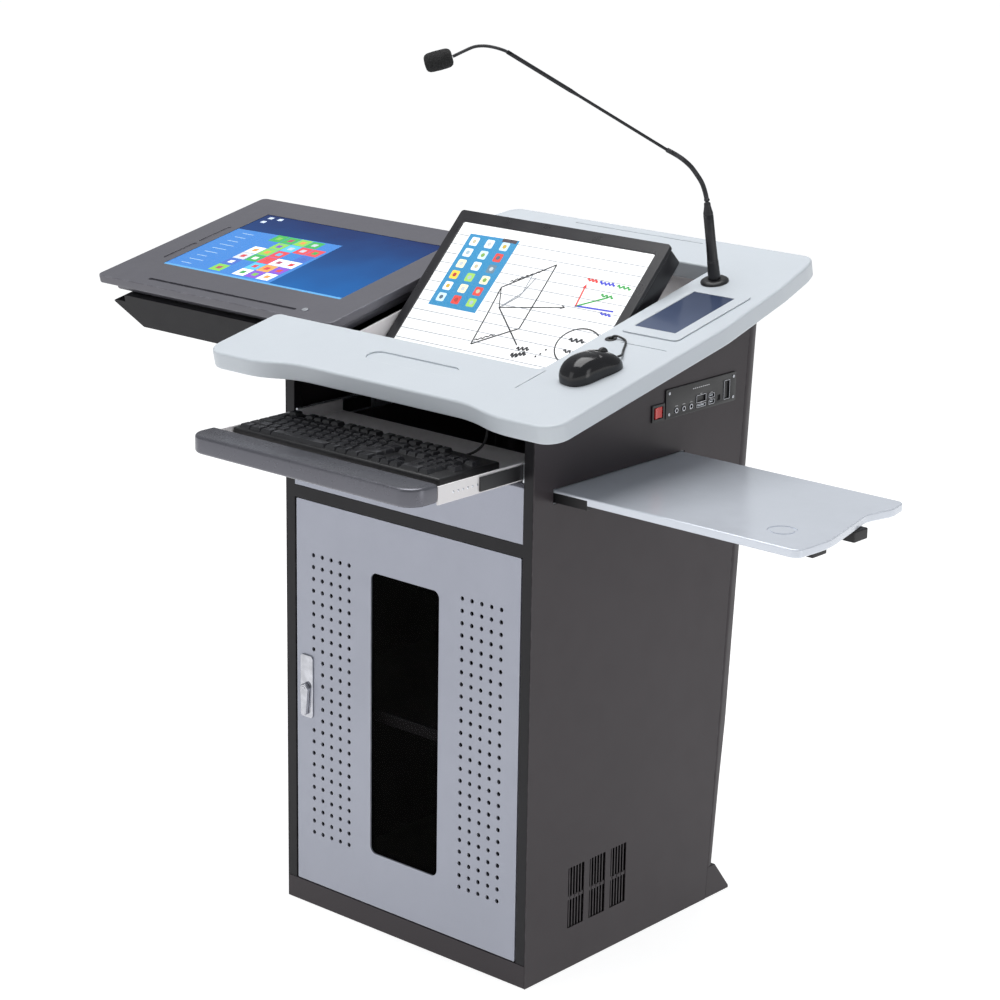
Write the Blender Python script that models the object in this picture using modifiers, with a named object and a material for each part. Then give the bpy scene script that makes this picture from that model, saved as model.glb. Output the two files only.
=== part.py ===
"""Multimedia lectern stand, built from separate sub-parts.

Units are metres and +Z is up. The cabinet stands on z = 0 with its front at y = 0 and its middle at x = 0, and +Y
points away from the person who speaks. The sloped top has a frame of its own: x, then v up the slope, then w along
its normal, with w = 0 on the top surface.
"""

import math

import bmesh
import bpy
from mathutils import Euler, Matrix, Vector

GAP = 0.0003
SHEET = 0.0015

CABINET_HALF = 0.265
INNER_HALF = CABINET_HALF - SHEET
CABINET_DEPTH = 0.472
REAR_LEAN = 0.0632
BASE_HEIGHT = 0.0388
FRAME_HALF = INNER_HALF - GAP
POST_INNER = 0.2445
FRAME_DEPTH = 0.018
DOOR_TOP = 0.709
RAIL_TOP = 0.730
BAY_FLOOR = 0.819
BAY_TOP = 0.905

DESK_TILT = math.radians(12)
DESK_HEIGHT = 0.9646
DESK_THICKNESS = 0.030
DESK_HALF = 0.368
UNDER_DESK = -DESK_THICKNESS - GAP
OPENING_FRONT = 0.0859
OPENING_REAR = 0.5388
OPENING_RIGHT_FRONT = 0.203
OPENING_RIGHT_REAR = 0.193

REAR_BULGE = 0.036
REAR_CORNER = 0.026
FOOT_HEIGHT = 0.0565

DOOR_HALF = 0.2415
DOOR_FRONT = 0.0012
DOOR_SHEET = 0.003
DOOR_BACK = DOOR_FRONT + DOOR_SHEET
DOOR_AXIS = (0.2350, 0.0065)
HINGE_PIN_RADIUS = 0.002
LOCK_X, LOCK_Z = -0.218, 0.385
SPINDLE_RADIUS = 0.004

TRAY_Z = 0.838
TRAY_FRONT = -0.1812
TRAY_REAR = 0.100

SHELF_TOP = 0.810
SHELF_THICKNESS = 0.013
SHELF_ROOT_X = 0.155
SHELF_STEP_X = 0.328
SHELF_SKIN = 0.004

MONITOR_TILT = math.radians(45.3)
MONITOR_AXIS = Vector((0.0, 0.2320, 0.9095))
MONITOR_LEFT, MONITOR_RIGHT = -0.2595, 0.1890
MONITOR_FRONT = 0.0225
MONITOR_LOW, MONITOR_HIGH = -0.015, 0.285
SCREEN_LEFT, SCREEN_RIGHT = -0.2406, 0.1696
SCREEN_LOW, SCREEN_HIGH = 0.0075, 0.2625
MONITOR_PIN_RADIUS = 0.004

WELL_SHEET = 0.0012
WELL_LEFT, WELL_RIGHT = -0.2632, 0.2130

CONSOLE_LEFT, CONSOLE_RIGHT = -0.855, -0.275
CONSOLE_FRONT, CONSOLE_REAR = 0.1114, 0.5326
CONSOLE_TOP = -0.0147
CONSOLE_PLATE = 0.015
CONSOLE_BOTTOM = -0.0490

MIC_X, MIC_V = 0.235, 0.4846
MIC_STEM = 0.1345

MOUSE_X, MOUSE_V = 0.288, 0.1022
MOUSE_TURN = math.radians(-10)


def clear_scene():
    for obj in list(bpy.data.objects):
        bpy.data.objects.remove(obj, do_unlink=True)


clear_scene()
PARTS = bpy.data.collections.new("lectern_stand")
CUTTERS = bpy.data.collections.new("lectern_cutters")
bpy.context.scene.collection.children.link(PARTS)
bpy.context.scene.collection.children.link(CUTTERS)


# ---------------------------------------------------------------- materials

def finish(name, color, roughness, metallic=0.0):
    material = bpy.data.materials.new(name)
    material.use_nodes = True
    shader = material.node_tree.nodes["Principled BSDF"]
    shader.inputs["Base Color"].default_value = (*color, 1.0)
    shader.inputs["Roughness"].default_value = roughness
    shader.inputs["Metallic"].default_value = metallic
    return material


GRAPHITE = (0.072, 0.064, 0.072)
SILVER = (0.36, 0.39, 0.46)
BLACK = (0.012, 0.012, 0.014)


# ---------------------------------------------------------------- frames and outlines

def desk_matrix():
    return Matrix.Translation((0, 0, DESK_HEIGHT)) @ Matrix.Rotation(DESK_TILT, 4, "X")


def on_desk(x, v, w):
    """World place of a point that is given in the sloped frame of the top."""
    return desk_matrix() @ Vector((x, v, w))


def under_desk_z(y, clearance=GAP):
    """Height of the underside of the top above the line at y."""
    drop = (DESK_THICKNESS + clearance) / math.cos(DESK_TILT)
    return DESK_HEIGHT + y * math.tan(DESK_TILT) - drop


def seam_y(z):
    """Rear edge of the side panels, which lean back as they rise."""
    return CABINET_DEPTH + REAR_LEAN * z


def rounded(corners, step=math.radians(20)):
    """Closed outline through (x, y, radius) corners, with an arc at each corner that has a radius."""
    points = []
    for index, (x, y, radius) in enumerate(corners):
        here = Vector((x, y))
        if radius == 0:
            points.append(here)
            continue
        back = (Vector(corners[index - 1][:2]) - here).normalized()
        ahead = (Vector(corners[(index + 1) % len(corners)][:2]) - here).normalized()
        turn = math.pi - back.angle(ahead)
        centre = here + (back + ahead).normalized() * radius / math.cos(turn / 2)
        reach = radius * math.tan(turn / 2)
        start = here + back * reach - centre
        side = 1 if start.cross(here + ahead * reach - centre) > 0 else -1
        count = max(1, math.ceil(turn / step))
        for number in range(count + 1):
            points.append(centre + Matrix.Rotation(side * turn * number / count, 2) @ start)
    return points


def rectangle(x0, y0, x1, y1, radius=0.0):
    return rounded([(x0, y0, radius), (x1, y0, radius), (x1, y1, radius), (x0, y1, radius)])


def smooth_route(points, pieces=3):
    """Catmull-Rom curve through the points, with the same number of pieces between each two."""
    ring = [Vector(point) for point in points]
    ends = [2 * ring[0] - ring[1]] + ring + [2 * ring[-1] - ring[-2]]
    route = []
    for a, b, c, d in zip(ends, ends[1:], ends[2:], ends[3:]):
        for number in range(pieces):
            t = number / pieces
            route.append(0.5 * (2 * b + (c - a) * t + (2 * a - 5 * b + 4 * c - d) * t ** 2
                                + (3 * b - 3 * c + d - a) * t ** 3))
    return route + [ring[-1]]


# ---------------------------------------------------------------- solids

def place(name, data, material=None, matrix=None, collection=PARTS):
    obj = bpy.data.objects.new(name, data)
    collection.objects.link(obj)
    if material:
        data.materials.append(material)
    if matrix is not None:
        obj.matrix_world = matrix
    bpy.context.view_layer.update()
    return obj


def as_cutter(obj):
    obj.hide_render = True
    obj.display_type = "WIRE"
    return obj


def block(name, low, high, material=None, matrix=None, bevel=0.0, collection=PARTS):
    """Box between two corners, with its origin at its own middle."""
    low, high = Vector(low), Vector(high)
    size = high - low
    mesh = bpy.data.meshes.new(name)
    shape = bmesh.new()
    bmesh.ops.create_cube(shape, size=1.0, matrix=Matrix.Diagonal((*size, 1.0)))
    shape.to_mesh(mesh)
    shape.free()
    middle = Matrix.Translation((low + high) / 2)
    obj = place(name, mesh, material, (matrix or Matrix()) @ middle, collection)
    if bevel:
        soften(obj, bevel)
    return obj


def soften(obj, width, segments=2, angle=math.radians(35)):
    modifier = obj.modifiers.new("rounded_edges", "BEVEL")
    modifier.width = width
    modifier.segments = segments
    modifier.limit_method = "ANGLE"
    modifier.angle_limit = angle
    return modifier


def meshed(curve_object, collection):
    """The same shape as a welded mesh, for pieces that are cut or joined."""
    graph = bpy.context.evaluated_depsgraph_get()
    mesh = bpy.data.meshes.new_from_object(curve_object.evaluated_get(graph))
    shape = bmesh.new()
    shape.from_mesh(mesh)
    bmesh.ops.remove_doubles(shape, verts=shape.verts, dist=1e-6)
    bmesh.ops.recalc_face_normals(shape, faces=shape.faces)
    if shape.calc_volume(signed=True) < 0:
        bmesh.ops.reverse_faces(shape, faces=shape.faces)
    shape.to_mesh(mesh)
    shape.free()
    name, matrix = curve_object.name, curve_object.matrix_world.copy()
    curve = curve_object.data
    bpy.data.objects.remove(curve_object)
    bpy.data.curves.remove(curve)
    mesh.name = name
    return place(name, mesh, None, matrix, collection)


def plate(name, outlines, depth, material=None, matrix=None, edge=0.0, collection=PARTS):
    """Flat outline, with holes, whose front face lies on its frame's z = 0 and which is depth thick behind it."""
    curve = bpy.data.curves.new(name, "CURVE")
    curve.dimensions = "2D"
    curve.fill_mode = "BOTH"
    curve.extrude = depth / 2 - edge
    curve.bevel_depth = edge
    curve.bevel_resolution = 1
    curve.offset = -edge
    for outline in outlines:
        spline = curve.splines.new("POLY")
        spline.points.add(len(outline) - 1)
        for point, (x, y) in zip(spline.points, outline):
            point.co = (x, y, 0, 1)
        spline.use_cyclic_u = True
    if material:
        curve.materials.append(material)
    behind = (matrix or Matrix()) @ Matrix.Translation((0, 0, -depth / 2))
    return meshed(place(name, curve, None, behind, collection), collection)


def facing_front(y=0.0):
    """Frame for outlines drawn in x and z whose front face looks towards -Y."""
    return Matrix.Translation((0, y, 0)) @ Euler((math.pi / 2, 0, 0)).to_matrix().to_4x4()


def facing_right(x=0.0):
    """Frame for outlines drawn in y and z whose front face looks towards +X."""
    return Matrix.Translation((x, 0, 0)) @ Euler((math.pi / 2, 0, math.pi / 2)).to_matrix().to_4x4()


def turned(name, profile, material=None, matrix=None, steps=24, closed=False, collection=PARTS):
    """Solid of revolution about its own z axis: (radius, height) points run down the outer side."""
    mesh = bpy.data.meshes.new(name)
    points = [(radius, 0, height) for radius, height in profile]
    edges = [(index, index + 1) for index in range(len(points) - 1)]
    if closed:
        edges.append((len(points) - 1, 0))
    mesh.from_pydata(points, edges, [])
    obj = place(name, mesh, material, matrix, collection)
    screw = obj.modifiers.new("turn", "SCREW")
    screw.steps = steps
    screw.render_steps = steps
    screw.use_merge_vertices = True
    screw.merge_threshold = 1e-5
    screw.use_smooth_shade = True
    return obj


def rod(name, radius, length, material=None, matrix=None, steps=20, collection=PARTS):
    """Round bar from z = 0 to z = length in its own frame."""
    profile = [(0, length), (radius, length), (radius, 0), (0, 0)]
    return turned(name, profile, material, matrix, steps, False, collection)


def tube(name, route, radius, material, resolution=2):
    curve = bpy.data.curves.new(name, "CURVE")
    curve.dimensions = "3D"
    curve.bevel_depth = radius
    curve.bevel_resolution = resolution
    curve.use_fill_caps = True
    spline = curve.splines.new("POLY")
    spline.points.add(len(route) - 1)
    for point, place_at in zip(spline.points, route):
        point.co = (*place_at, 1)
    return place(name, curve, material)


def combine(obj, tool, operation):
    as_cutter(tool)
    modifier = obj.modifiers.new(operation.lower() + "_" + tool.name, "BOOLEAN")
    modifier.operation = operation
    modifier.solver = "EXACT"
    modifier.object = tool
    return modifier


def cut(obj, tool):
    combine(obj, tool, "DIFFERENCE")


def join(obj, tool):
    combine(obj, tool, "UNION")


def cut_block(obj, name, low, high, matrix=None):
    cut(obj, block(name, low, high, matrix=matrix, collection=CUTTERS))


def cut_rod(obj, name, radius, length, matrix):
    cut(obj, rod(name, radius, length, matrix=matrix, collection=CUTTERS))


def along(start, direction):
    """Frame at start whose z axis points along direction."""
    turn = Vector((0, 0, 1)).rotation_difference(Vector(direction))
    return Matrix.Translation(start) @ turn.to_matrix().to_4x4()


def pivot(name, location, *pieces):
    """Empty on a joint's axis that carries the pieces of one moving body."""
    empty = place(name, None, None, Matrix.Translation(location))
    for piece in pieces:
        piece.parent = empty
        piece.matrix_parent_inverse = empty.matrix_world.inverted()
    return empty


# ---------------------------------------------------------------- cabinet

def make_base_plinth():
    material = finish("base_plinth", GRAPHITE, 0.5, 0.2)
    rear = CABINET_DEPTH - 2 * GAP
    base = block("base_plinth", (-FRAME_HALF, GAP, 0), (FRAME_HALF, rear, BASE_HEIGHT - GAP), material)
    wall = 0.003
    cut_block(base, "plinth_hollow", (wall - FRAME_HALF, GAP + wall, -0.01),
              (FRAME_HALF - wall, rear - wall, BASE_HEIGHT - GAP - wall))


def side_outline(console_notch):
    """Side panel in (y, z): straight front, leaning rear edge, top along the underside of the sloped top."""
    top_rear_z = under_desk_z(CABINET_DEPTH) / (1 - REAR_LEAN * math.tan(DESK_TILT))
    corners = [(GAP, 0), (CABINET_DEPTH - GAP, 0), (seam_y(top_rear_z) - GAP, top_rear_z - 2 * GAP)]
    if console_notch:
        depth = -0.0455
        for v, w in ((OPENING_REAR - 0.003, UNDER_DESK), (OPENING_REAR - 0.003, depth),
                     (OPENING_FRONT, depth), (OPENING_FRONT, UNDER_DESK)):
            corner = on_desk(0, v, w - GAP)
            corners.append((corner.y, corner.z))
    corners.append((GAP, under_desk_z(0) - GAP))
    return rounded([(y, z, 0) for y, z in corners])


def make_side_panels():
    material = finish("side_panel", GRAPHITE, 0.5, 0.2)
    shelf_slot = [(0.045, 0.788), (0.108, 0.788), (0.108, 0.778), (0.262, 0.778), (0.262, 0.788), (0.370, 0.788),
                  (0.370, 0.812), (0.045, 0.812)]
    right_holes = [shelf_slot, rectangle(0.2825, 0.8745, 0.3095, 0.8975)]
    vent_width, vent_pitch = 0.040, 0.0535
    for number in range(3):
        y = 0.103 + number * vent_pitch
        right_holes.append(rectangle(y, 0.070, y + vent_width, 0.174))
    plate("side_panel_right", [side_outline(False)] + right_holes, SHEET, material, facing_right(CABINET_HALF))
    plate("side_panel_left", [side_outline(True)], SHEET, material, facing_right(-INNER_HALF))


def make_front_frame():
    material = finish("front_frame", (0.028, 0.026, 0.03), 0.5, 0.2)
    top = under_desk_z(0) - GAP
    outline = rounded([(-FRAME_HALF, BASE_HEIGHT, 0), (-POST_INNER, BASE_HEIGHT, 0), (-POST_INNER, DOOR_TOP, 0),
                       (POST_INNER, DOOR_TOP, 0), (POST_INNER, BASE_HEIGHT, 0), (FRAME_HALF, BASE_HEIGHT, 0),
                       (FRAME_HALF, top, 0), (-FRAME_HALF, top, 0)])
    bay = rectangle(-POST_INNER, RAIL_TOP, POST_INNER, BAY_TOP)
    plate("front_frame", [outline, bay], FRAME_DEPTH - GAP, material, facing_front(GAP))


def make_upper_front_panel():
    """Folded sheet: a face below the keyboard bay with a ledge turned back along its top."""
    material = finish("upper_front_panel", SILVER, 0.4, 0.4)
    low, high, ledge = RAIL_TOP + GAP, BAY_FLOOR, 0.020
    profile = rounded([(GAP, low, 0), (GAP, high, 0.001), (ledge, high, 0), (ledge, high - SHEET, 0),
                       (GAP + SHEET, high - SHEET, 0), (GAP + SHEET, low, 0)])
    half = POST_INNER - GAP
    plate("upper_front_panel", [profile], 2 * half, material, facing_right(half))


def rear_bulge(z):
    """How far the rear cover stands behind the side panels' rear edge: it draws in towards the floor."""
    return REAR_BULGE - 0.0175 * max(0.0, 1 - z / 0.31) ** 1.3


def make_rear_cover():
    """Bowed sheet: rows of points from the right edge round the back to the left edge, thickened inwards."""
    material = finish("rear_cover", GRAPHITE, 0.5, 0.2)
    heights = [FOOT_HEIGHT + GAP, 0.12, 0.20, 0.31, 0.50, 0.72, None]
    corner_steps = 4
    shape = bmesh.new()
    rows = []
    for height in heights:
        plan = []
        z = height if height is not None else under_desk_z(seam_y(1.05))
        bulge = rear_bulge(z)
        radius = min(REAR_CORNER, bulge - 0.004)
        plan.append((CABINET_HALF, GAP))
        for number in range(corner_steps + 1):
            angle = math.pi / 2 * number / corner_steps
            plan.append((CABINET_HALF - radius + radius * math.cos(angle), bulge - radius + radius * math.sin(angle)))
        plan.append((0.0, bulge))
        plan += [(-x, y) for x, y in reversed(plan[:-1])]
        row = []
        for x, offset in plan:
            level = z
            if height is None:
                level = under_desk_z(seam_y(z) + offset) - GAP
            row.append(shape.verts.new((x, seam_y(level) + offset, level)))
        rows.append(row)
    for lower, upper in zip(rows, rows[1:]):
        for index in range(len(lower) - 1):
            shape.faces.new((lower[index], lower[index + 1], upper[index + 1], upper[index]))
    mesh = bpy.data.meshes.new("rear_cover")
    shape.to_mesh(mesh)
    shape.free()
    cover = place("rear_cover", mesh, material)
    sheet = cover.modifiers.new("sheet", "SOLIDIFY")
    sheet.thickness = SHEET
    sheet.offset = -1
    sheet.use_even_offset = True


def make_rear_foot():
    """Floor-level fairing behind the plinth that flares backwards, hollow and open underneath."""
    material = finish("rear_foot", GRAPHITE, 0.5, 0.2)
    tip_y, heel_y, wall = 0.538, 0.497, 0.002
    front = CABINET_DEPTH + GAP
    outer = rounded([(front, 0, 0), (tip_y, 0, 0), (tip_y, 0.0045, 0), (heel_y, FOOT_HEIGHT, 0),
                     (seam_y(FOOT_HEIGHT) + GAP, FOOT_HEIGHT, 0)])
    inner = rounded([(front + wall, -0.01, 0), (tip_y - wall, -0.01, 0), (tip_y - wall, 0.0035, 0),
                     (heel_y - 0.001, FOOT_HEIGHT - wall, 0), (seam_y(FOOT_HEIGHT) + wall, FOOT_HEIGHT - wall, 0)])
    foot = plate("rear_foot", [outer], 2 * CABINET_HALF, material, facing_right(CABINET_HALF))
    cut(foot, plate("foot_hollow", [inner], 2 * (CABINET_HALF - wall), None, facing_right(CABINET_HALF - wall),
                    collection=CUTTERS))


def make_inner_shelf():
    material = finish("inner_shelf", (0.05, 0.05, 0.055), 0.5, 0.2)
    front, rear, low, top = 0.022, 0.466, 0.356, 0.376
    half = INNER_HALF - 0.0005
    shelf = block("inner_shelf", (-half, front, low), (half, rear, top), material)
    cut_block(shelf, "shelf_hollow", (SHEET - half, front + SHEET, low - 0.01), (half - SHEET, rear - SHEET, top - SHEET))


# ---------------------------------------------------------------- door and lock

def make_door():
    material = finish("door_panel", SILVER, 0.4, 0.4)
    low, high = BASE_HEIGHT + 0.0015, DOOR_TOP - 0.0015
    window = rectangle(-0.074, 0.134, 0.074, 0.617, 0.012)
    door = plate("door_panel", [rectangle(-DOOR_HALF, low, DOOR_HALF, high, 0.002), window], DOOR_SHEET, material,
                 facing_front(DOOR_FRONT))
    axis_x, axis_y = DOOR_AXIS
    lug, lug_height = 0.004, 0.020
    for number, (bottom, pin_base) in enumerate(((low, BASE_HEIGHT), (high - lug_height, high - 0.012))):
        join(door, block(f"hinge_lug_{number}", (axis_x - lug, DOOR_BACK - 0.001, bottom),
                         (axis_x + lug, axis_y + lug, bottom + lug_height), collection=CUTTERS))
        bore = Matrix.Translation((axis_x, axis_y, pin_base - 0.002))
        cut_rod(door, f"hinge_bore_{number}", HINGE_PIN_RADIUS + 0.0001, 0.017, bore)
    lock_hole = along((LOCK_X, -0.01, LOCK_Z), (0, 1, 0))
    cut_rod(door, "door_lock_hole", SPINDLE_RADIUS + GAP, 0.03, lock_hole)
    pane = plate("door_window", [rectangle(-0.081, 0.127, 0.081, 0.624, 0.010)], 0.002,
                 finish("door_window", (0.02, 0.02, 0.022), 0.08), facing_front(DOOR_BACK + GAP))
    chrome = finish("lock_escutcheon", (0.62, 0.62, 0.64), 0.25, 1.0)
    guard_depth = 0.0024
    guard = plate("lock_escutcheon", [rectangle(-0.232, 0.334, -0.204, 0.443, 0.006)], guard_depth, chrome,
                  facing_front(DOOR_FRONT - GAP - guard_depth))
    cut_rod(guard, "guard_lock_hole", SPINDLE_RADIUS + GAP, 0.03, lock_hole)
    handle, spindle = make_lock(DOOR_FRONT - GAP - guard_depth)
    pivot("door_axis", (axis_x, axis_y, low), door, pane, guard, handle, spindle)


def make_lock(guard_face):
    """Turning handle outside, and a spindle inside with a cam that turns behind the post."""
    chrome = finish("swing_handle", (0.6, 0.6, 0.62), 0.2, 1.0)
    steel = finish("lock_spindle_cam", (0.4, 0.4, 0.42), 0.35, 1.0)
    grip = 0.007
    lever = rounded([(LOCK_X - 0.009, LOCK_Z + 0.009, 0.0089), (LOCK_X - 0.005, LOCK_Z - 0.046, 0.0048),
                     (LOCK_X + 0.005, LOCK_Z - 0.046, 0.0048), (LOCK_X + 0.009, LOCK_Z + 0.009, 0.0089)])
    handle = plate("swing_handle", [lever], grip, chrome, facing_front(guard_face - GAP - grip), edge=0.0015)
    cam_front, cam_depth, cam_reach, cam_half = FRAME_DEPTH + 0.001, 0.0025, 0.036, 0.006
    spindle = rod("lock_spindle_cam", SPINDLE_RADIUS, cam_front + 0.001 - guard_face, steel,
                  along((LOCK_X, guard_face, LOCK_Z), (0, 1, 0)))
    cam = plate("cam_blade", [rounded([(LOCK_X - cam_half, LOCK_Z - cam_half, 0.0055),
                                       (LOCK_X + cam_half, LOCK_Z - cam_half, 0.0055),
                                       (LOCK_X + cam_half, LOCK_Z + cam_reach, 0.004),
                                       (LOCK_X - cam_half, LOCK_Z + cam_reach, 0.004)])],
                cam_depth, None, facing_front(cam_front), collection=CUTTERS)
    join(spindle, cam)
    pivot("lock_axis", (LOCK_X, guard_face, LOCK_Z), handle, spindle)
    return handle, spindle


def make_hinge_pins():
    steel = finish("door_hinge_pin", (0.5, 0.5, 0.52), 0.3, 1.0)
    length = 0.0135
    for name, z in (("door_hinge_lower", BASE_HEIGHT), ("door_hinge_upper", DOOR_TOP - GAP - length)):
        rod(name, HINGE_PIN_RADIUS, length, steel, Matrix.Translation((*DOOR_AXIS, z)), steps=16)


# ---------------------------------------------------------------- sloped top

def desktop_outline():
    """C shape: front bar, right strip and rear bar round a bay that is open to the left."""
    wing, middle = -0.0838, -0.0639
    half = [(0.185, middle, 0.20), (0.249, wing, 0.20), (DESK_HALF, wing, 0.035)]
    rear = [(0.349, 0.5183, 0.25), (0.3335, 0.603, 0.12), (0.320, 0.642, 0.028)]
    corners = [(-x, v, radius) for x, v, radius in reversed(half)] + half
    corners += [(DESK_HALF, 0.3374, 0.25)] + rear
    corners += [(-x, v, radius) for x, v, radius in reversed(rear[1:])]
    corners += [(-0.347, OPENING_REAR, 0.012), (OPENING_RIGHT_REAR, OPENING_REAR, 0.012),
                (OPENING_RIGHT_FRONT, OPENING_FRONT, 0.012), (-DESK_HALF, OPENING_FRONT, 0.014)]
    return rounded(corners)


def make_desktop():
    material = finish("desktop", (0.66, 0.71, 0.75), 0.35)
    desk = desk_matrix()
    top = plate("desktop", [desktop_outline()], DESK_THICKNESS, material, desk, edge=0.004)
    recess = 0.0025
    tool_matrix = desk @ Matrix.Translation((0, 0, 0.01))
    cut(top, plate("pen_recess", [rectangle(-0.095, 0.0, 0.090, 0.0348, 0.017)], 0.01 + recess, None, tool_matrix,
                   collection=CUTTERS))
    groove, line = 0.0012, 0.0012
    for name, low, high in (("groove_right", (0.2135, 0.012), (0.2135 + line, 0.084)),
                            ("groove_panel", (0.250, 0.2198), (0.340, 0.2198 + line)),
                            ("groove_rear", (-0.165, 0.6190), (0.110, 0.6190 + line))):
        cut_block(top, name, (*low, -groove), (*high, 0.01), desk)
    cut_rod(top, "grommet_hole", 0.008, 0.05, desk @ Matrix.Translation((*GROMMET, -0.04)))


GROMMET = (0.229, 0.2243)


def make_cord_grommet():
    material = finish("cord_grommet", (0.05, 0.05, 0.055), 0.6)
    profile = [(0.0042, 0.0014), (0.0085, 0.0014), (0.0098, 0.0009), (0.0098, GAP), (0.0077, GAP), (0.0077, -0.016),
               (0.0042, -0.016)]
    turned("cord_grommet", profile, material, desk_matrix() @ Matrix.Translation((*GROMMET, 0)), closed=True)


def make_monitor_well():
    """Sheet tub below the bay: shallow over the keyboard, deeper behind it, with its left wall cut low."""
    material = finish("monitor_well", (0.78, 0.77, 0.78), 0.45)
    sheet = WELL_SHEET
    side = [(0.0842, UNDER_DESK), (0.0842, -0.0965), (0.1785, -0.0965), (0.1785, -0.1450), (0.515, -0.1450),
            (0.5450, -0.0600), (0.5450, UNDER_DESK)]
    inside = [(0.0842 + sheet, 0.01), (0.0842 + sheet, sheet - 0.0965), (0.1785 + sheet, sheet - 0.0965),
              (0.1785 + sheet, sheet - 0.1450), (0.515 - sheet, sheet - 0.1450), (0.5450 - sheet, -0.0600),
              (0.5450 - sheet, 0.01)]
    well = plate("monitor_well", [rounded([(v, w, 0) for v, w in side])], WELL_RIGHT - WELL_LEFT, material,
                 desk_matrix() @ facing_right(WELL_RIGHT))
    cut(well, plate("well_space", [rounded([(v, w, 0) for v, w in inside])], WELL_RIGHT - WELL_LEFT - 2 * sheet, None,
                    desk_matrix() @ facing_right(WELL_RIGHT - sheet), collection=CUTTERS))
    cut_block(well, "well_left_notch", (WELL_LEFT - 0.01, 0.05, -0.0458), (WELL_LEFT + 0.01, 0.56, 0.02), desk_matrix())


def make_touch_panel():
    desk = desk_matrix()
    lift = 0.0026
    outer = rectangle(0.2225, 0.2550, 0.3335, 0.4530, 0.010)
    inner = rectangle(0.2325, 0.2790, 0.3125, 0.4340, 0.002)
    plate("touch_bezel", [outer, inner], lift - GAP, finish("touch_bezel", (0.75, 0.80, 0.84), 0.35),
          desk @ Matrix.Translation((0, 0, lift)), edge=0.0007)
    plate("touch_screen", [rectangle(0.2330, 0.2795, 0.3120, 0.4335, 0.001)], 0.0014,
          finish("touch_screen", (0.05, 0.07, 0.12), 0.08), desk @ Matrix.Translation((0, 0, 0.0017)))


# ---------------------------------------------------------------- connectors and power switch

def make_side_fittings():
    face = CABINET_HALF + GAP
    flange = 0.0022
    plate("io_panel", [rectangle(0.314, 0.872, 0.498, 0.920, 0.002)], flange, finish("io_panel", BLACK, 0.4),
          facing_right(face + flange))
    housing = plate("switch_housing", [rectangle(0.280, 0.8722, 0.3115, 0.8998, 0.001)], flange,
                    finish("switch_housing", BLACK, 0.4), facing_right(face + flange))
    join(housing, block("switch_barrel", (0.2450, 0.2830, 0.8750), (face + 0.001, 0.3090, 0.8970),
                        collection=CUTTERS))
    cut_block(housing, "switch_cavity", (0.2475, 0.2845, 0.8765), (0.2800, 0.3075, 0.8955))
    centre = Vector((0.2580, 0.2960, 0.8770))
    half_length, height = 0.0100, 0.0180
    outline = rounded([(0.0095, half_length, 0.0008), (0.0080, 0, 0), (0.0095, -half_length, 0.0008),
                       (-0.002, -0.0085, 0), (-0.006, 0, 0), (-0.002, 0.0085, 0)])
    rest_tilt = math.radians(6)
    frame = Matrix.Translation(centre + Vector((0, 0, height))) @ Matrix.Rotation(rest_tilt, 4, "Z")
    rocker = plate("power_rocker", [outline], height, finish("power_rocker", (0.6, 0.02, 0.02), 0.3), frame)
    pivot("rocker_axis", centre, rocker)


# ---------------------------------------------------------------- keyboard tray

def make_keyboard_tray():
    steel = finish("tray_pan", (0.55, 0.56, 0.58), 0.35, 0.8)
    pan = block("tray_pan", (-0.2335, TRAY_FRONT, TRAY_Z - SHEET), (0.2335, TRAY_REAR, TRAY_Z), steel)
    for side, name in ((-1, "left"), (1, "right")):
        low, high = sorted((side * 0.2325, side * 0.2360))
        join(pan, block(f"inner_member_{name}", (low, TRAY_FRONT, 0.828), (high, TRAY_REAR, 0.856),
                        collection=CUTTERS))
    rear, front, half, top = TRAY_FRONT - GAP, -0.2400, 0.2380, 0.8610
    bar = rounded([(-half, rear, 0.003), (-half, front, 0.032), (half, front, 0.032), (half, rear, 0.003)])
    nose = plate("tray_bullnose", [bar], 0.029, finish("tray_bullnose", (0.13, 0.13, 0.15), 0.4),
                 Matrix.Translation((0, 0, top)), edge=0.005)
    case = block("keyboard_case", (-0.2315, -0.148, TRAY_Z + GAP), (0.2065, -0.011, 0.8555),
                 finish("keyboard_case", BLACK, 0.45), bevel=0.003)
    keys = block("keyboard_keys", (-0.2225, -0.1435, 0.8555 + GAP), (0.1975, -0.0175, 0.8620),
                 finish("keyboard_keys", BLACK, 0.5), bevel=0.001)
    cord = tube("keyboard_cord", smooth_route(KEYBOARD_CORD, 2), 0.002, finish("keyboard_cord", BLACK, 0.5))
    pivot("tray_slide_axis", (0, 0, TRAY_Z), pan, nose, case, keys, cord)
    tube("keyboard_cord_upper", smooth_route(KEYBOARD_CORD_UPPER, 2), 0.002,
         finish("keyboard_cord_upper", BLACK, 0.5))


KEYBOARD_CORD = [(0.1250, -0.0105, 0.8480), (0.1262, -0.0045, 0.8482), (0.1300, -0.0005, 0.8495),
                 (0.1370, 0.0010, 0.8528), (0.1460, 0.0012, 0.8580), (0.1550, 0.0005, 0.8645),
                 (0.1620, -0.0004, 0.8715)]
KEYBOARD_CORD_UPPER = [(0.1623, -0.0004, 0.8718), (0.1672, -0.0013, 0.8785), (0.1718, -0.0030, 0.8880),
                       (0.1752, -0.0058, 0.8985), (0.1776, -0.0094, 0.9090), (0.1792, -0.0124, 0.9190),
                       (0.1797, -0.0136, 0.9290)]


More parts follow.
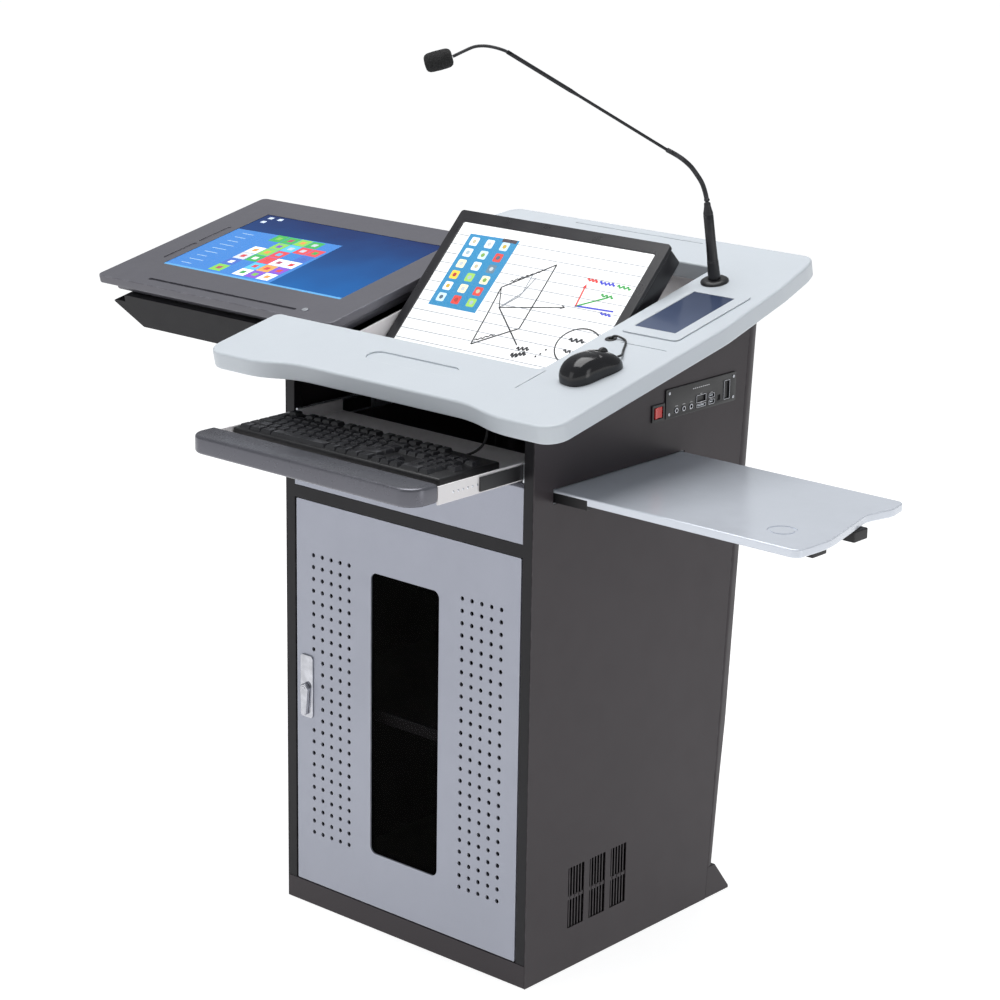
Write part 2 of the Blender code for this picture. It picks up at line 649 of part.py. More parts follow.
def make_tray_rails():
    """Fixed outer rails inside the bay and intermediate members that travel half as far as the tray."""
    steel = finish("tray_slide", (0.6, 0.61, 0.63), 0.3, 0.9)
    moving = []
    for side, name in ((-1, "left"), (1, "right")):
        low, high = sorted((side * 0.2397, side * 0.2440))
        block(f"tray_slide_outer_{name}", (low, 0.003, 0.826), (high, 0.300, 0.857), steel)
        low, high = sorted((side * 0.2364, side * 0.2393))
        moving.append(block(f"tray_slide_mid_{name}", (low, -0.092, 0.831), (high, 0.170, 0.853), steel))
    pivot("mid_slide_axis", (0, 0, TRAY_Z), *moving)


# ---------------------------------------------------------------- side shelf

def make_side_shelf():
    top_finish = finish("shelf_panel", (0.40, 0.43, 0.50), 0.35, 0.4)
    dark = finish("shelf_bar", (0.02, 0.02, 0.022), 0.5, 0.3)
    front, rear = 0.049, 0.367
    outline = rounded([(SHELF_ROOT_X, front, 0), (0.712, front, 0.014), (0.7155, 0.125, 0.15), (0.679, 0.272, 0.05),
                       (0.691, 0.325, 0.04), (0.682, rear, 0.014), (SHELF_ROOT_X, rear, 0)])
    panel = plate("shelf_panel", [outline], SHELF_THICKNESS, top_finish, Matrix.Translation((0, 0, SHELF_TOP)))
    skin_z = SHELF_TOP - SHELF_SKIN
    cut_block(panel, "shelf_root_step", (SHELF_ROOT_X - 0.01, 0, SHELF_TOP - 0.03), (SHELF_STEP_X, 0.4, skin_z))
    root = block("shelf_root_plate", (SHELF_ROOT_X, front + 0.001, 0.7900),
                 (SHELF_STEP_X - GAP, rear - 0.001, skin_z - GAP), dark)
    pieces = [panel, root]
    bar_top = SHELF_TOP - SHELF_THICKNESS - GAP
    for name, y in (("front", 0.115), ("rear", 0.220)):
        pieces.append(block(f"shelf_bar_{name}", (SHELF_STEP_X, y, 0.7795), (0.6930, y + 0.035, bar_top),
                            dark, bevel=0.002))
    pivot("shelf_slide_axis", (SHELF_ROOT_X, front, 0.7900), *pieces)


def make_shelf_guides():
    """Channels across the cabinet that hold the front and rear edges of the shelf's root plate."""
    steel = finish("shelf_guide", (0.4, 0.4, 0.42), 0.4, 0.8)
    wall, lip = 0.003, 0.012
    for name, web, side in (("front", 0.0435, -1), ("rear", 0.3725, 1)):
        back, tip = web + side * wall, web - side * lip
        channel = rounded([(back, 0.7865, 0), (tip, 0.7865, 0), (tip, 0.7895, 0), (web, 0.7895, 0), (web, 0.8105, 0),
                           (tip, 0.8105, 0), (tip, 0.8135, 0), (back, 0.8135, 0)])
        half = INNER_HALF - 0.0005
        plate(f"shelf_guide_{name}", [channel], 2 * half, steel, facing_right(half))


# ---------------------------------------------------------------- raised display

def make_monitor():
    frame = Matrix.Translation(MONITOR_AXIS) @ Matrix.Rotation(MONITOR_TILT, 4, "X")
    black = finish("monitor_bezel", (0.02, 0.02, 0.024), 0.35)
    bezel_depth = 0.008
    outer = rectangle(MONITOR_LEFT, MONITOR_LOW, MONITOR_RIGHT, MONITOR_HIGH, 0.006)
    inner = rectangle(SCREEN_LEFT, SCREEN_LOW, SCREEN_RIGHT, SCREEN_HIGH, 0.003)
    bezel = plate("monitor_bezel", [outer, inner], bezel_depth, black, frame @ Matrix.Translation((0, 0, MONITOR_FRONT)),
                  edge=0.001)
    inset = 0.0005
    screen = plate("monitor_screen",
                   [rectangle(SCREEN_LEFT + inset, SCREEN_LOW + inset, SCREEN_RIGHT - inset, SCREEN_HIGH - inset, 0.003)],
                   0.005, finish("monitor_screen", (0.8, 0.82, 0.82), 0.1),
                   frame @ Matrix.Translation((0, 0, MONITOR_FRONT - 0.0015)))
    housing = block("monitor_housing", (MONITOR_LEFT + 0.002, MONITOR_LOW + 0.003, -MONITOR_FRONT),
                    (MONITOR_RIGHT - 0.002, MONITOR_HIGH - 0.003, MONITOR_FRONT - bezel_depth - GAP),
                    finish("monitor_housing", (0.03, 0.03, 0.034), 0.5), frame, bevel=0.004)
    notch = 0.0095
    for name, low, high in (("left", MONITOR_LEFT - 0.01, MONITOR_LEFT + notch),
                            ("right", MONITOR_RIGHT - notch, MONITOR_RIGHT + 0.01)):
        cut_block(housing, f"bracket_notch_{name}", (low, MONITOR_LOW - 0.01, -0.05), (high, 0.0115, 0.05), frame)
    pin_start, pin_end = MONITOR_LEFT + 0.0003, MONITOR_RIGHT - 0.0003
    pin_frame = along((pin_start, MONITOR_AXIS.y, MONITOR_AXIS.z), (1, 0, 0))
    cut_rod(housing, "housing_bore", MONITOR_PIN_RADIUS + GAP, 0.6, along((-0.4, *MONITOR_AXIS[1:]), (1, 0, 0)))
    pin = rod("monitor_hinge_pin", MONITOR_PIN_RADIUS, pin_end - pin_start,
              finish("monitor_hinge_pin", (0.5, 0.5, 0.52), 0.3, 1.0), pin_frame)
    pivot("monitor_axis", MONITOR_AXIS, bezel, screen, housing, pin)
    make_monitor_brackets(pin_start, pin_end)


def make_monitor_brackets(pin_start, pin_end):
    """Ears that stand on the floor of the well and carry the ends of the hinge pin."""
    steel = finish("monitor_bracket", (0.25, 0.25, 0.27), 0.4, 0.8)
    axis = desk_matrix().inverted() @ MONITOR_AXIS
    floor = WELL_SHEET - 0.1450 + GAP
    half, ear = 0.009, 0.0052
    outline = rounded([(axis.y - half, floor, 0), (axis.y + half, floor, 0), (axis.y + half, axis.z + half, 0.0088),
                       (axis.y - half, axis.z + half, 0.0088)])
    hole = along((-0.4, *MONITOR_AXIS[1:]), (1, 0, 0))
    for name, right_face in (("left", pin_start + ear), ("right", pin_end)):
        bracket = plate(f"monitor_bracket_{name}", [outline], ear, steel, desk_matrix() @ facing_right(right_face))
        cut_rod(bracket, f"bracket_hole_{name}", MONITOR_PIN_RADIUS + GAP, 0.7, hole)


# ---------------------------------------------------------------- second display at the left

def make_console_box():
    """Hollow support beam fixed to the left of the cabinet, with a rail along each of its top edges."""
    material = finish("console_support_box", (0.03, 0.028, 0.03), 0.5, 0.2)
    front, rear, wall = 0.1204, 0.4935, 0.002
    low, high, rail_top = -0.104, -0.062, CONSOLE_BOTTOM - GAP
    inner_x = -CABINET_HALF - GAP
    outline = rounded([(-0.835, high, 0.002), (-0.762, low, 0.004), (inner_x, low, 0), (inner_x, high, 0)])
    to_front = desk_matrix() @ facing_front(front)
    box = plate("console_support_box", [outline], rear - front, material, to_front)
    space = rounded([(-0.829, high + 0.01, 0), (-0.829, high, 0), (-0.7615, low + wall, 0),
                     (inner_x - wall, low + wall, 0), (inner_x - wall, high + 0.01, 0)])
    cut(box, plate("box_space", [space], rear - front - 2 * wall, None, desk_matrix() @ facing_front(front + wall),
                   collection=CUTTERS))
    rail = 0.016
    for name, v in (("front", front), ("rear", rear - rail)):
        join(box, block(f"console_rail_{name}", (-0.800, v, high - 0.004), (inner_x - 0.020, v + rail, rail_top),
                        matrix=desk_matrix(), collection=CUTTERS))


def make_console():
    desk = desk_matrix()
    gray = finish("console_frame", (0.12, 0.12, 0.13), 0.4, 0.3)
    front_face = desk @ Matrix.Translation((0, 0, CONSOLE_TOP))
    outline = rectangle(CONSOLE_LEFT, CONSOLE_FRONT, CONSOLE_RIGHT, CONSOLE_REAR, 0.012)
    frame = plate("console_frame", [outline], CONSOLE_PLATE, gray, front_face, edge=0.002)
    join(frame, block("console_lower_body", (CONSOLE_LEFT + 0.020, 0.1344, CONSOLE_BOTTOM),
                      (CONSOLE_RIGHT - 0.010, 0.5100, CONSOLE_TOP - CONSOLE_PLATE + 0.001), matrix=desk,
                      bevel=0.006, collection=CUTTERS))
    screen = (-0.777, 0.2013, -0.338, 0.4671)
    recess, above = 0.0035, 0.01
    cutting = desk @ Matrix.Translation((0, 0, CONSOLE_TOP + above))
    pockets = [("screen_recess", rectangle(*screen, 0.001), recess),
               ("pen_slot", rectangle(-0.742, 0.1320, -0.378, 0.1400, 0.0039), 0.003),
               ("side_tray_front", rectangle(-0.8010, 0.2230, -0.7920, 0.3020, 0.0044), 0.0015),
               ("side_tray_rear", rectangle(-0.8010, 0.3100, -0.7920, 0.3890, 0.0044), 0.0015)]
    for name, pocket, depth in pockets:
        cut(frame, plate(name, [pocket], above + depth, None, cutting, collection=CUTTERS))
    button_x, button_v, button_radius = -0.3610, 0.1411, 0.006
    cut_rod(frame, "button_bore", button_radius + 0.0005, 0.02,
            desk @ Matrix.Translation((button_x, button_v, CONSOLE_TOP - 0.010)))
    low_x, low_v, high_x, high_v = screen
    inset = 0.0005
    glass = plate("console_screen", [rectangle(low_x + inset, low_v + inset, high_x - inset, high_v - inset)],
                  recess - GAP - 0.0007, finish("console_screen", (0.02, 0.10, 0.35), 0.1),
                  desk @ Matrix.Translation((0, 0, CONSOLE_TOP - 0.0007)))
    button_height, proud = 0.008, 0.0012
    button = rod("console_button", button_radius, button_height, finish("console_button", (0.7, 0.7, 0.72), 0.25, 1.0),
                 desk @ Matrix.Translation((button_x, button_v, CONSOLE_TOP + proud - button_height)))
    pivot("console_button_axis", on_desk(button_x, button_v, CONSOLE_TOP), button)
    pivot("console_slide_axis", on_desk(CONSOLE_RIGHT, CONSOLE_FRONT, CONSOLE_TOP), frame, glass)


# ---------------------------------------------------------------- microphone

GOOSENECK = [(0.2352, 0.4453, 1.2002), (0.2325, 0.4425, 1.2150), (0.2285, 0.4388, 1.2290), (0.2226, 0.4333, 1.2415),
             (0.2150, 0.4258, 1.2550), (0.2060, 0.4168, 1.2660), (0.1970, 0.4077, 1.2742), (0.1881, 0.3988, 1.2808)]
MIC_ROD = [(0.1878, 0.3985, 1.2810), (0.1118, 0.3225, 1.3450), (0.0122, 0.2229, 1.4287)]
MIC_KNEE = (0.0112, 0.2219, 1.4295)
MIC_NECK = [(0.0101, 0.2208, 1.4304), (0.0055, 0.2162, 1.4338), (-0.0010, 0.2097, 1.4369), (-0.0078, 0.2029, 1.4393),
            (-0.0145, 0.1962, 1.4408), (-0.0205, 0.1902, 1.4410), (-0.0262, 0.1845, 1.4402),
            (-0.0315, 0.1792, 1.4380), (-0.0400, 0.1707, 1.4325), (-0.0518, 0.1589, 1.4243)]
MIC_HEAD_END = (-0.0827, 0.1280, 1.4122)


def make_microphone():
    black = finish("mic_stem", (0.015, 0.015, 0.017), 0.4)
    base = desk_matrix() @ Matrix.Translation((MIC_X, MIC_V, 0))
    ring = [(0.0106, 0.0062), (0.0185, 0.0062), (0.0225, 0.0035), (0.0230, GAP), (0.0106, GAP)]
    turned("mic_socket_ring", ring, finish("mic_socket_ring", BLACK, 0.4), base, closed=True)
    stem = [(0, MIC_STEM), (0.0052, MIC_STEM), (0.0055, MIC_STEM - 0.005), (0.0078, MIC_STEM - 0.015), (0.0082, 0.060),
            (0.0098, 0.020), (0.0100, GAP), (0, GAP)]
    turned("mic_stem", stem, black, base)
    neck = tube("mic_gooseneck", smooth_route(GOOSENECK, 2), 0.004, finish("mic_gooseneck", BLACK, 0.45), 3)
    long_rod = tube("mic_rod", MIC_ROD, 0.00275, finish("mic_rod", BLACK, 0.35), 3)
    upper = tube("mic_neck", smooth_route(MIC_NECK, 2), 0.0026, finish("mic_neck", BLACK, 0.45), 2)
    tip, end = Vector(MIC_NECK[-1]), Vector(MIC_HEAD_END)
    direction = (end - tip).normalized()
    length = (end - tip).length
    foam = [(0, length), (0.009, length - 0.0004), (0.0135, length - 0.003), (0.0155, length - 0.009),
            (0.0158, 0.014), (0.0148, 0.005), (0.0110, 0.0012), (0.0060, 2 * GAP), (0, 2 * GAP)]
    head = turned("mic_head", foam, finish("mic_head", (0.01, 0.01, 0.01), 0.95), along(tip, direction))
    pivot("mic_base_axis", on_desk(MIC_X, MIC_V, MIC_STEM + 0.0015), neck, long_rod)
    pivot("mic_knee_axis", MIC_KNEE, upper, head)


# ---------------------------------------------------------------- mouse

MOUSE_CORD = [(0.2968, 0.1572, 0.0085), (0.2962, 0.1640, 0.0070), (0.2915, 0.1735, 0.0042), (0.2850, 0.1830, 0.0026),
              (0.2785, 0.1930, 0.0022), (0.2725, 0.2030, 0.0022), (0.2668, 0.2130, 0.0022), (0.2605, 0.2215, 0.0024),
              (0.2525, 0.2268, 0.0028)]
MOUSE_CORD_END = [(0.2519, 0.2270, 0.0028), (0.2455, 0.2282, 0.0038), (0.2390, 0.2276, 0.0052),
                  (0.2335, 0.2260, 0.0048), (0.2302, 0.2249, 0.0012), (0.2293, 0.2244, -0.0050),
                  (0.2291, 0.2243, -0.0120)]


def make_mouse():
    desk = desk_matrix()
    place_at = desk @ Matrix.Translation((MOUSE_X, MOUSE_V, GAP)) @ Matrix.Rotation(MOUSE_TURN, 4, "Z")
    half_width, half_length, height = 0.0305, 0.0525, 0.0350
    shell = block("mouse_body", (-half_width, -half_length, 0), (half_width, half_length, height),
                  finish("mouse_body", (0.015, 0.015, 0.017), 0.25), place_at)
    soften(shell, 0.014, 4)
    wheel_y, wheel_z, wheel_radius, wheel_half = 0.026, 0.0235, 0.0100, 0.0035
    slot = 0.0008
    cut_block(shell, "wheel_slot", (-wheel_half - slot, wheel_y - wheel_radius - slot, wheel_z - wheel_radius - slot),
              (wheel_half + slot, wheel_y + wheel_radius + slot, 0.05), place_at)
    hub = place_at @ Matrix.Translation((-wheel_half, wheel_y, wheel_z)) @ Matrix.Rotation(math.pi / 2, 4, "Y")
    profile = [(0, 2 * wheel_half), (wheel_radius - 0.001, 2 * wheel_half), (wheel_radius, 2 * wheel_half - 0.001),
               (wheel_radius, 0.001), (wheel_radius - 0.001, 0), (0, 0)]
    wheel = turned("mouse_wheel", profile, finish("mouse_wheel", (0.03, 0.03, 0.033), 0.7), hub)
    rubber = finish("mouse_cord", BLACK, 0.5)
    cord = tube("mouse_cord", [desk @ Vector(p) for p in smooth_route(MOUSE_CORD, 2)], 0.00175, rubber)
    tube("mouse_cord_end", [desk @ Vector(p) for p in smooth_route(MOUSE_CORD_END, 2)], 0.00175, rubber)
    pivot("mouse_slide_axis", place_at.translation, shell, cord)
    pivot("mouse_wheel_axis", (place_at @ Vector((0, wheel_y, wheel_z))), wheel)


def main():
    make_base_plinth()
    make_side_panels()
    make_front_frame()
    make_upper_front_panel()
    make_rear_cover()
    make_rear_foot()
    make_inner_shelf()
    make_door()
    make_hinge_pins()
    make_desktop()
    make_cord_grommet()
    make_monitor_well()
    make_touch_panel()
    make_side_fittings()
    make_keyboard_tray()
    make_tray_rails()
    make_side_shelf()
    make_shelf_guides()
    make_monitor()
    make_console_box()
    make_console()
    make_microphone()
    make_mouse()


main()
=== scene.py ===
"""Looks of the multimedia lectern stand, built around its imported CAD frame.

Units are metres. +Z is up, the cabinet's front is at y = 0 and its middle at x = 0. The sloped top has
a frame of its own: x, then v up the slope, then w along its normal, with w = 0 on the top surface.
"""

import random
from math import ceil, copysign, cos, pi, radians, sin, tan

import bmesh
import bpy
from mathutils import Euler, Matrix, Vector


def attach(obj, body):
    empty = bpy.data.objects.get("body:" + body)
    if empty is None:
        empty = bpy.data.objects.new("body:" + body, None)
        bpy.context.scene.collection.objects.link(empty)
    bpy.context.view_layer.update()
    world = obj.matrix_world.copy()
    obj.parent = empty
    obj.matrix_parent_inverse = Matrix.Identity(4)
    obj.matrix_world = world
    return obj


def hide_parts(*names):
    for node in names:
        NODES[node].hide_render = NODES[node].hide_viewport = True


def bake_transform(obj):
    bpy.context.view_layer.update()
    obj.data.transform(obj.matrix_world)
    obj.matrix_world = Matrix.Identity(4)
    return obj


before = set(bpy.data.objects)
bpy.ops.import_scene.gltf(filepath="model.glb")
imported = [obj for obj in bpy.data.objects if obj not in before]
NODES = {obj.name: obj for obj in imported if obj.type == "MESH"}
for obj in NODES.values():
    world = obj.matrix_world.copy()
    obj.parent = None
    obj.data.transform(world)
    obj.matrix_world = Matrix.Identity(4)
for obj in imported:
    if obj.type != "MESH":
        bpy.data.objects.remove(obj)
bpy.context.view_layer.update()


def at(x, y, z):
    """Frame moved to a place."""
    return Matrix.Translation((x, y, z))


PANEL_FACE = 0.265
CONNECTOR_FACE = 0.2675
LOCK_X, LOCK_Z = -0.218, 0.385
SHELF_TOP = 0.81
RAIL_TOP = 0.861
MIC_X, MIC_V, MIC_STEM = 0.235, 0.4846, 0.1345

DESK = at(0, 0, 0.9646) @ Matrix.Rotation(radians(12), 4, "X")
MONITOR = at(0, 0.232, 0.9095) @ Matrix.Rotation(radians(45.3), 4, "X")


def facing_front(y=0.0):
    """Frame for outlines drawn in x and z whose front face looks towards -Y."""
    return at(0, y, 0) @ Euler((pi / 2, 0, 0)).to_matrix().to_4x4()


def facing_right(x=0.0):
    """Frame for outlines drawn in y and z whose front face looks towards +X."""
    return at(x, 0, 0) @ Euler((pi / 2, 0, pi / 2)).to_matrix().to_4x4()


def linear(red, green, blue):
    """Linear colour from three 0-255 screen values."""
    return tuple(((c / 255 + 0.055) / 1.055) ** 2.4 if c > 10 else c / 255 / 12.92 for c in
        (red, green, blue))


def placed(name, data):
    """New object in the scene."""
    obj = bpy.data.objects.new(name, data)
    bpy.context.scene.collection.objects.link(obj)
    return obj


def put(node, **values):
    """Sets a shader node's inputs, with _ for the spaces in their names."""
    for name, value in values.items():
        node.inputs[name.replace("_", " ")].default_value = value


# ---- camera, lights, floor

def make_camera():
    yaw, pitch, roll = (radians(angle) for angle in (40.98, 16.02, 0.91))
    ahead = Vector((-sin(yaw) * cos(pitch), cos(yaw) * cos(pitch), -sin(pitch)))
    level = Vector((cos(yaw), sin(yaw), 0))
    rise = level.cross(ahead)
    right = cos(roll) * level + sin(roll) * rise
    up = -sin(roll) * level + cos(roll) * rise
    data = bpy.data.cameras.new("camera")
    data.lens, data.sensor_width = 97.7, 36.0
    camera = placed("camera", data)
    turn = Matrix((right, up, -ahead)).transposed().to_4x4()
    camera.matrix_world = at(2.789, -2.983, 1.926) @ turn
    bpy.context.scene.camera = camera


def area_light(name, place, target, size, power, colour=(1, 1, 1)):
    data = bpy.data.lights.new(name, "AREA")
    data.shape = "RECTANGLE"
    data.size, data.size_y = size
    data.energy, data.color = power, colour
    lamp = placed(name, data)
    lamp.location = place
    lamp.rotation_euler = (Vector(target) - Vector(place)).to_track_quat("-Z", "Y").to_euler()


def make_studio():
    world = bpy.data.worlds.new("studio")
    bpy.context.scene.world = world
    world.use_nodes = True
    sky = world.node_tree.nodes["Background"]
    put(sky, Color=(0.94, 0.97, 1.0, 1), Strength=0.38)
    area_light("overhead", (-0.3, 0.2, 3.6), (-0.1, 0.2, 0.9), (2.6, 2.6), 88)
    area_light("front_fill", (-1.6, -3.4, 1.9), (0, 0, 0.6), (2.0, 2.0), 11)
    area_light("right_strip", (3.6, 0.6, 1.0), (0.2, 0.2, 0.5), (0.8, 2.2), 9)
    bpy.context.scene.view_settings.view_transform = "Standard"


def make_floor():
    mesh = bpy.data.meshes.new("studio_floor")
    reach = 60
    mesh.from_pydata([(-reach, -reach, 0), (reach, -reach, 0), (reach, reach, 0), (-reach, reach, 0)], [],
        [(0, 1, 2, 3)])
    floor = placed("studio_floor", mesh)
    floor.location.z = -0.0005
    paper = bpy.data.materials.new("studio_paper")
    paper.use_nodes = True
    shader = paper.node_tree.nodes["Principled BSDF"]
    put(shader, Base_Color=(0.5, 0.5, 0.5, 1), Roughness=0.9, Emission_Color=(1, 1, 1, 1),
        Emission_Strength=0.83)
    mesh.materials.append(paper)


# ---- procedural surfaces

MATERIALS = {}


class Surface:
    """Node graph of one material, kept in MATERIALS under its name, with the links written as calls."""

    def __init__(self, name, roughness, metallic=0.0, **sockets):
        material = MATERIALS[name] = bpy.data.materials.new(name)
        material.use_nodes = True
        self.tree = material.node_tree
        self.shader = self.tree.nodes["Principled BSDF"]
        put(self.shader, Roughness=roughness, Metallic=metallic, **sockets)
        self.place = self.node("ShaderNodeTexCoord").outputs["Object"]

    def node(self, kind, **settings):
        made = self.tree.nodes.new(kind)
        for name, value in settings.items():
            setattr(made, name, value)
        return made

    def link(self, source, target):
        self.tree.links.new(source, target)

    def noise(self, scale, detail=3.0, stretch=None):
        texture = self.node("ShaderNodeTexNoise")
        put(texture, Scale=scale, Detail=detail)
        source = self.place
        if stretch:
            mapping = self.node("ShaderNodeMapping")
            put(mapping, Scale=stretch)
            self.link(source, mapping.inputs["Vector"])
            source = mapping.outputs["Vector"]
        self.link(source, texture.inputs["Vector"])
        return texture.outputs["Fac"]

    def ranged(self, value, low, high, to_low, to_high):
        scaled = self.node("ShaderNodeMapRange")
        put(scaled, From_Min=low, From_Max=high, To_Min=to_low, To_Max=to_high)
        self.link(value, scaled.inputs["Value"])
        return scaled.outputs["Result"]

    def calc(self, operation, a, b):
        math_node = self.node("ShaderNodeMath", operation=operation)
        for socket, value in zip(math_node.inputs, (a, b)):
            if isinstance(value, (int, float)):
                socket.default_value = value
            else:
                self.link(value, socket)
        return math_node.outputs[0]

    def mix(self, factor, a, b):
        mixer = self.node("ShaderNodeMix", data_type="RGBA")
        for socket, value in ((mixer.inputs[0], factor), (mixer.inputs[6], a), (mixer.inputs[7], b)):
            if isinstance(value, tuple):
                socket.default_value = (*value, 1)
            elif isinstance(value, (int, float)):
                socket.default_value = value
            else:
                self.link(value, socket)
        return mixer.outputs[2]

    def edges(self, radius=0.0016):
        """1 along rounded or sharp edges, broken up by noise, and 0 on flat ground."""
        bevel = self.node("ShaderNodeBevel", samples=4)
        put(bevel, Radius=radius)
        dot = self.node("ShaderNodeVectorMath", operation="DOT_PRODUCT")
        self.link(bevel.outputs["Normal"], dot.inputs[0])
        self.link(self.node("ShaderNodeNewGeometry").outputs["True Normal"], dot.inputs[1])
        edge = self.ranged(dot.outputs["Value"], 0.995, 0.9, 0.0, 1.0)
        return self.calc("MULTIPLY", edge, self.ranged(self.noise(60, 4), 0.42, 0.62, 0.0, 1.0))

    def colour(self, value):
        if isinstance(value, tuple):
            self.shader.inputs["Base Color"].default_value = (*value, 1)
        else:
            self.link(value, self.shader.inputs["Base Color"])

    def rough(self, value):
        self.link(value, self.shader.inputs["Roughness"])

    def bump(self, height, strength, distance):
        bump = self.node("ShaderNodeBump")
        put(bump, Strength=strength, Distance=distance)
        self.link(height, bump.inputs["Height"])
        self.link(bump.outputs["Normal"], self.shader.inputs["Normal"])


def shade(colour, share):
    return tuple(min(1.0, channel * share) for channel in colour)


def painted(name, colour, roughness, metallic=0.0, vary=0.07, speckle=0.05, grain=1500, relief=0.1,
        worn=None, spread=0.05, **sockets):
    """Powder coat or moulded plastic: drifts of tone, fine speckle, orange-peel relief and rubbed edges."""
    made = Surface(name, roughness, metallic, **sockets)
    drift = made.ranged(made.noise(3.2, 3), 0.3, 0.7, 0.0, 1.0)
    ground = made.mix(drift, shade(colour, 1 - vary), shade(colour, 1 + vary))
    fine = made.noise(grain, 2)
    ground = made.mix(made.ranged(fine, 0.45, 0.75, 0.0, speckle * 4), ground, shade(colour, 1.35))
    ground = made.mix(made.ranged(made.noise(38, 5), 0.55, 0.8, 0.0, speckle * 2), ground,
        shade(colour, 0.72))
    if worn:
        ground = made.mix(made.calc("MULTIPLY", made.edges(), 0.55), ground, worn)
    made.colour(ground)
    made.rough(made.ranged(made.noise(24, 4), 0.3, 0.7, roughness - spread, roughness + spread))
    made.bump(fine, relief, 0.0004)


def brushed(name, colour, roughness, stretch=(4, 400, 400), relief=0.04):
    """Bare or plated metal with fine drawn lines and small smudges."""
    made = Surface(name, roughness, 1.0)
    lines = made.noise(1.0, 3, stretch)
    made.colour(made.mix(made.ranged(lines, 0.35, 0.65, 0.0, 1.0), shade(colour, 0.86), shade(colour, 1.1)))
    smudge = made.ranged(made.noise(45, 4), 0.35, 0.7, roughness * 0.7, roughness * 1.5)
    made.rough(smudge)
    made.bump(lines, relief, 0.0003)


def rubber(name, colour=(0.012, 0.012, 0.013), roughness=0.5):
    """Extruded cord sheath with fine bumps, scuffs and dust."""
    made = Surface(name, roughness)
    dust = made.ranged(made.noise(260, 4), 0.5, 0.75, 0.0, 0.5)
    made.colour(made.mix(dust, colour, (0.06, 0.06, 0.062)))
    made.rough(made.ranged(made.noise(120, 3), 0.3, 0.7, roughness - 0.1, roughness + 0.12))
    made.bump(made.noise(1800, 2), 0.12, 0.0002)


def foam(name):
    """Open-cell foam of a windscreen."""
    made = Surface(name, 0.95)
    cells = made.node("ShaderNodeTexVoronoi")
    put(cells, Scale=900)
    made.link(made.place, cells.inputs["Vector"])
    made.colour(made.mix(made.ranged(cells.outputs["Distance"], 0.0, 0.6, 0.0, 1.0), (0.045, 0.045, 0.047),
        (0.004, 0.004, 0.004)))
    made.rough(made.ranged(made.noise(300, 2), 0.3, 0.7, 0.86, 1.0))
    made.bump(cells.outputs["Distance"], 0.9, 0.0012)


def smoked_glass(name):
    """Dark acrylic with a polished face and faint wipe marks."""
    made = Surface(name, 0.06, Transmission_Weight=1.0, IOR=1.06)
    made.colour(made.mix(made.ranged(made.noise(7, 3), 0.3, 0.7, 0.0, 1.0), (0.28, 0.28, 0.29),
        (0.33, 0.33, 0.34)))
    made.rough(made.ranged(made.noise(20, 5, (1, 1, 5)), 0.35, 0.7, 0.02, 0.1))


def lit_glass(name, low, high, axis, start, end, emission, roughness=0.12):
    """Lit screen: a slow change of colour along one axis, a fine grid of cells and a polished face."""
    made = Surface(name, roughness, Specular_IOR_Level=0.15)
    split = made.node("ShaderNodeSeparateXYZ")
    made.link(made.place, split.inputs[0])
    along = made.ranged(split.outputs[axis], start, end, 0.0, 1.0)
    glow = made.calc("ADD", along, made.ranged(made.noise(9, 2), 0.3, 0.7, -0.08, 0.08))
    cells = made.node("ShaderNodeTexBrick", offset=0.0)
    put(cells, Scale=700, Color1=(1, 1, 1, 1), Color2=(0.97, 0.97, 0.97, 1), Mortar=(0.9, 0.9, 0.9, 1))
    made.link(made.place, cells.inputs["Vector"])
    picture = made.mix(glow, low, high)
    grid = made.node("ShaderNodeMix", data_type="RGBA", blend_type="MULTIPLY")
    grid.inputs[0].default_value = 1.0
    made.link(picture, grid.inputs[6])
    made.link(cells.outputs["Color"], grid.inputs[7])
    made.colour(grid.outputs[2])
    made.link(grid.outputs[2], made.shader.inputs["Emission Color"])
    put(made.shader, Emission_Strength=emission)
    made.rough(made.ranged(made.noise(30, 4), 0.3, 0.75, roughness * 0.7, roughness * 1.4))


def ink(name, emission):
    """Colours of the shapes drawn on a screen, taken from each face, with a fine grain."""
    made = Surface(name, 0.25)
    paint = made.node("ShaderNodeAttribute", attribute_name="ink")
    grain = made.ranged(made.noise(900, 2), 0.35, 0.65, 0.0, 0.12)
    tone = made.mix(grain, paint.outputs["Color"], (0.5, 0.5, 0.52))
    made.colour(tone)
    made.link(tone, made.shader.inputs["Emission Color"])
    put(made.shader, Emission_Strength=emission)
    made.rough(made.ranged(made.noise(30, 4), 0.3, 0.75, 0.18, 0.32))


GRAPHITE = linear(56, 51, 54)
SILVER = linear(160, 163, 175)
DESK_GREY = linear(197, 203, 209)
BLACK = linear(24, 24, 26)

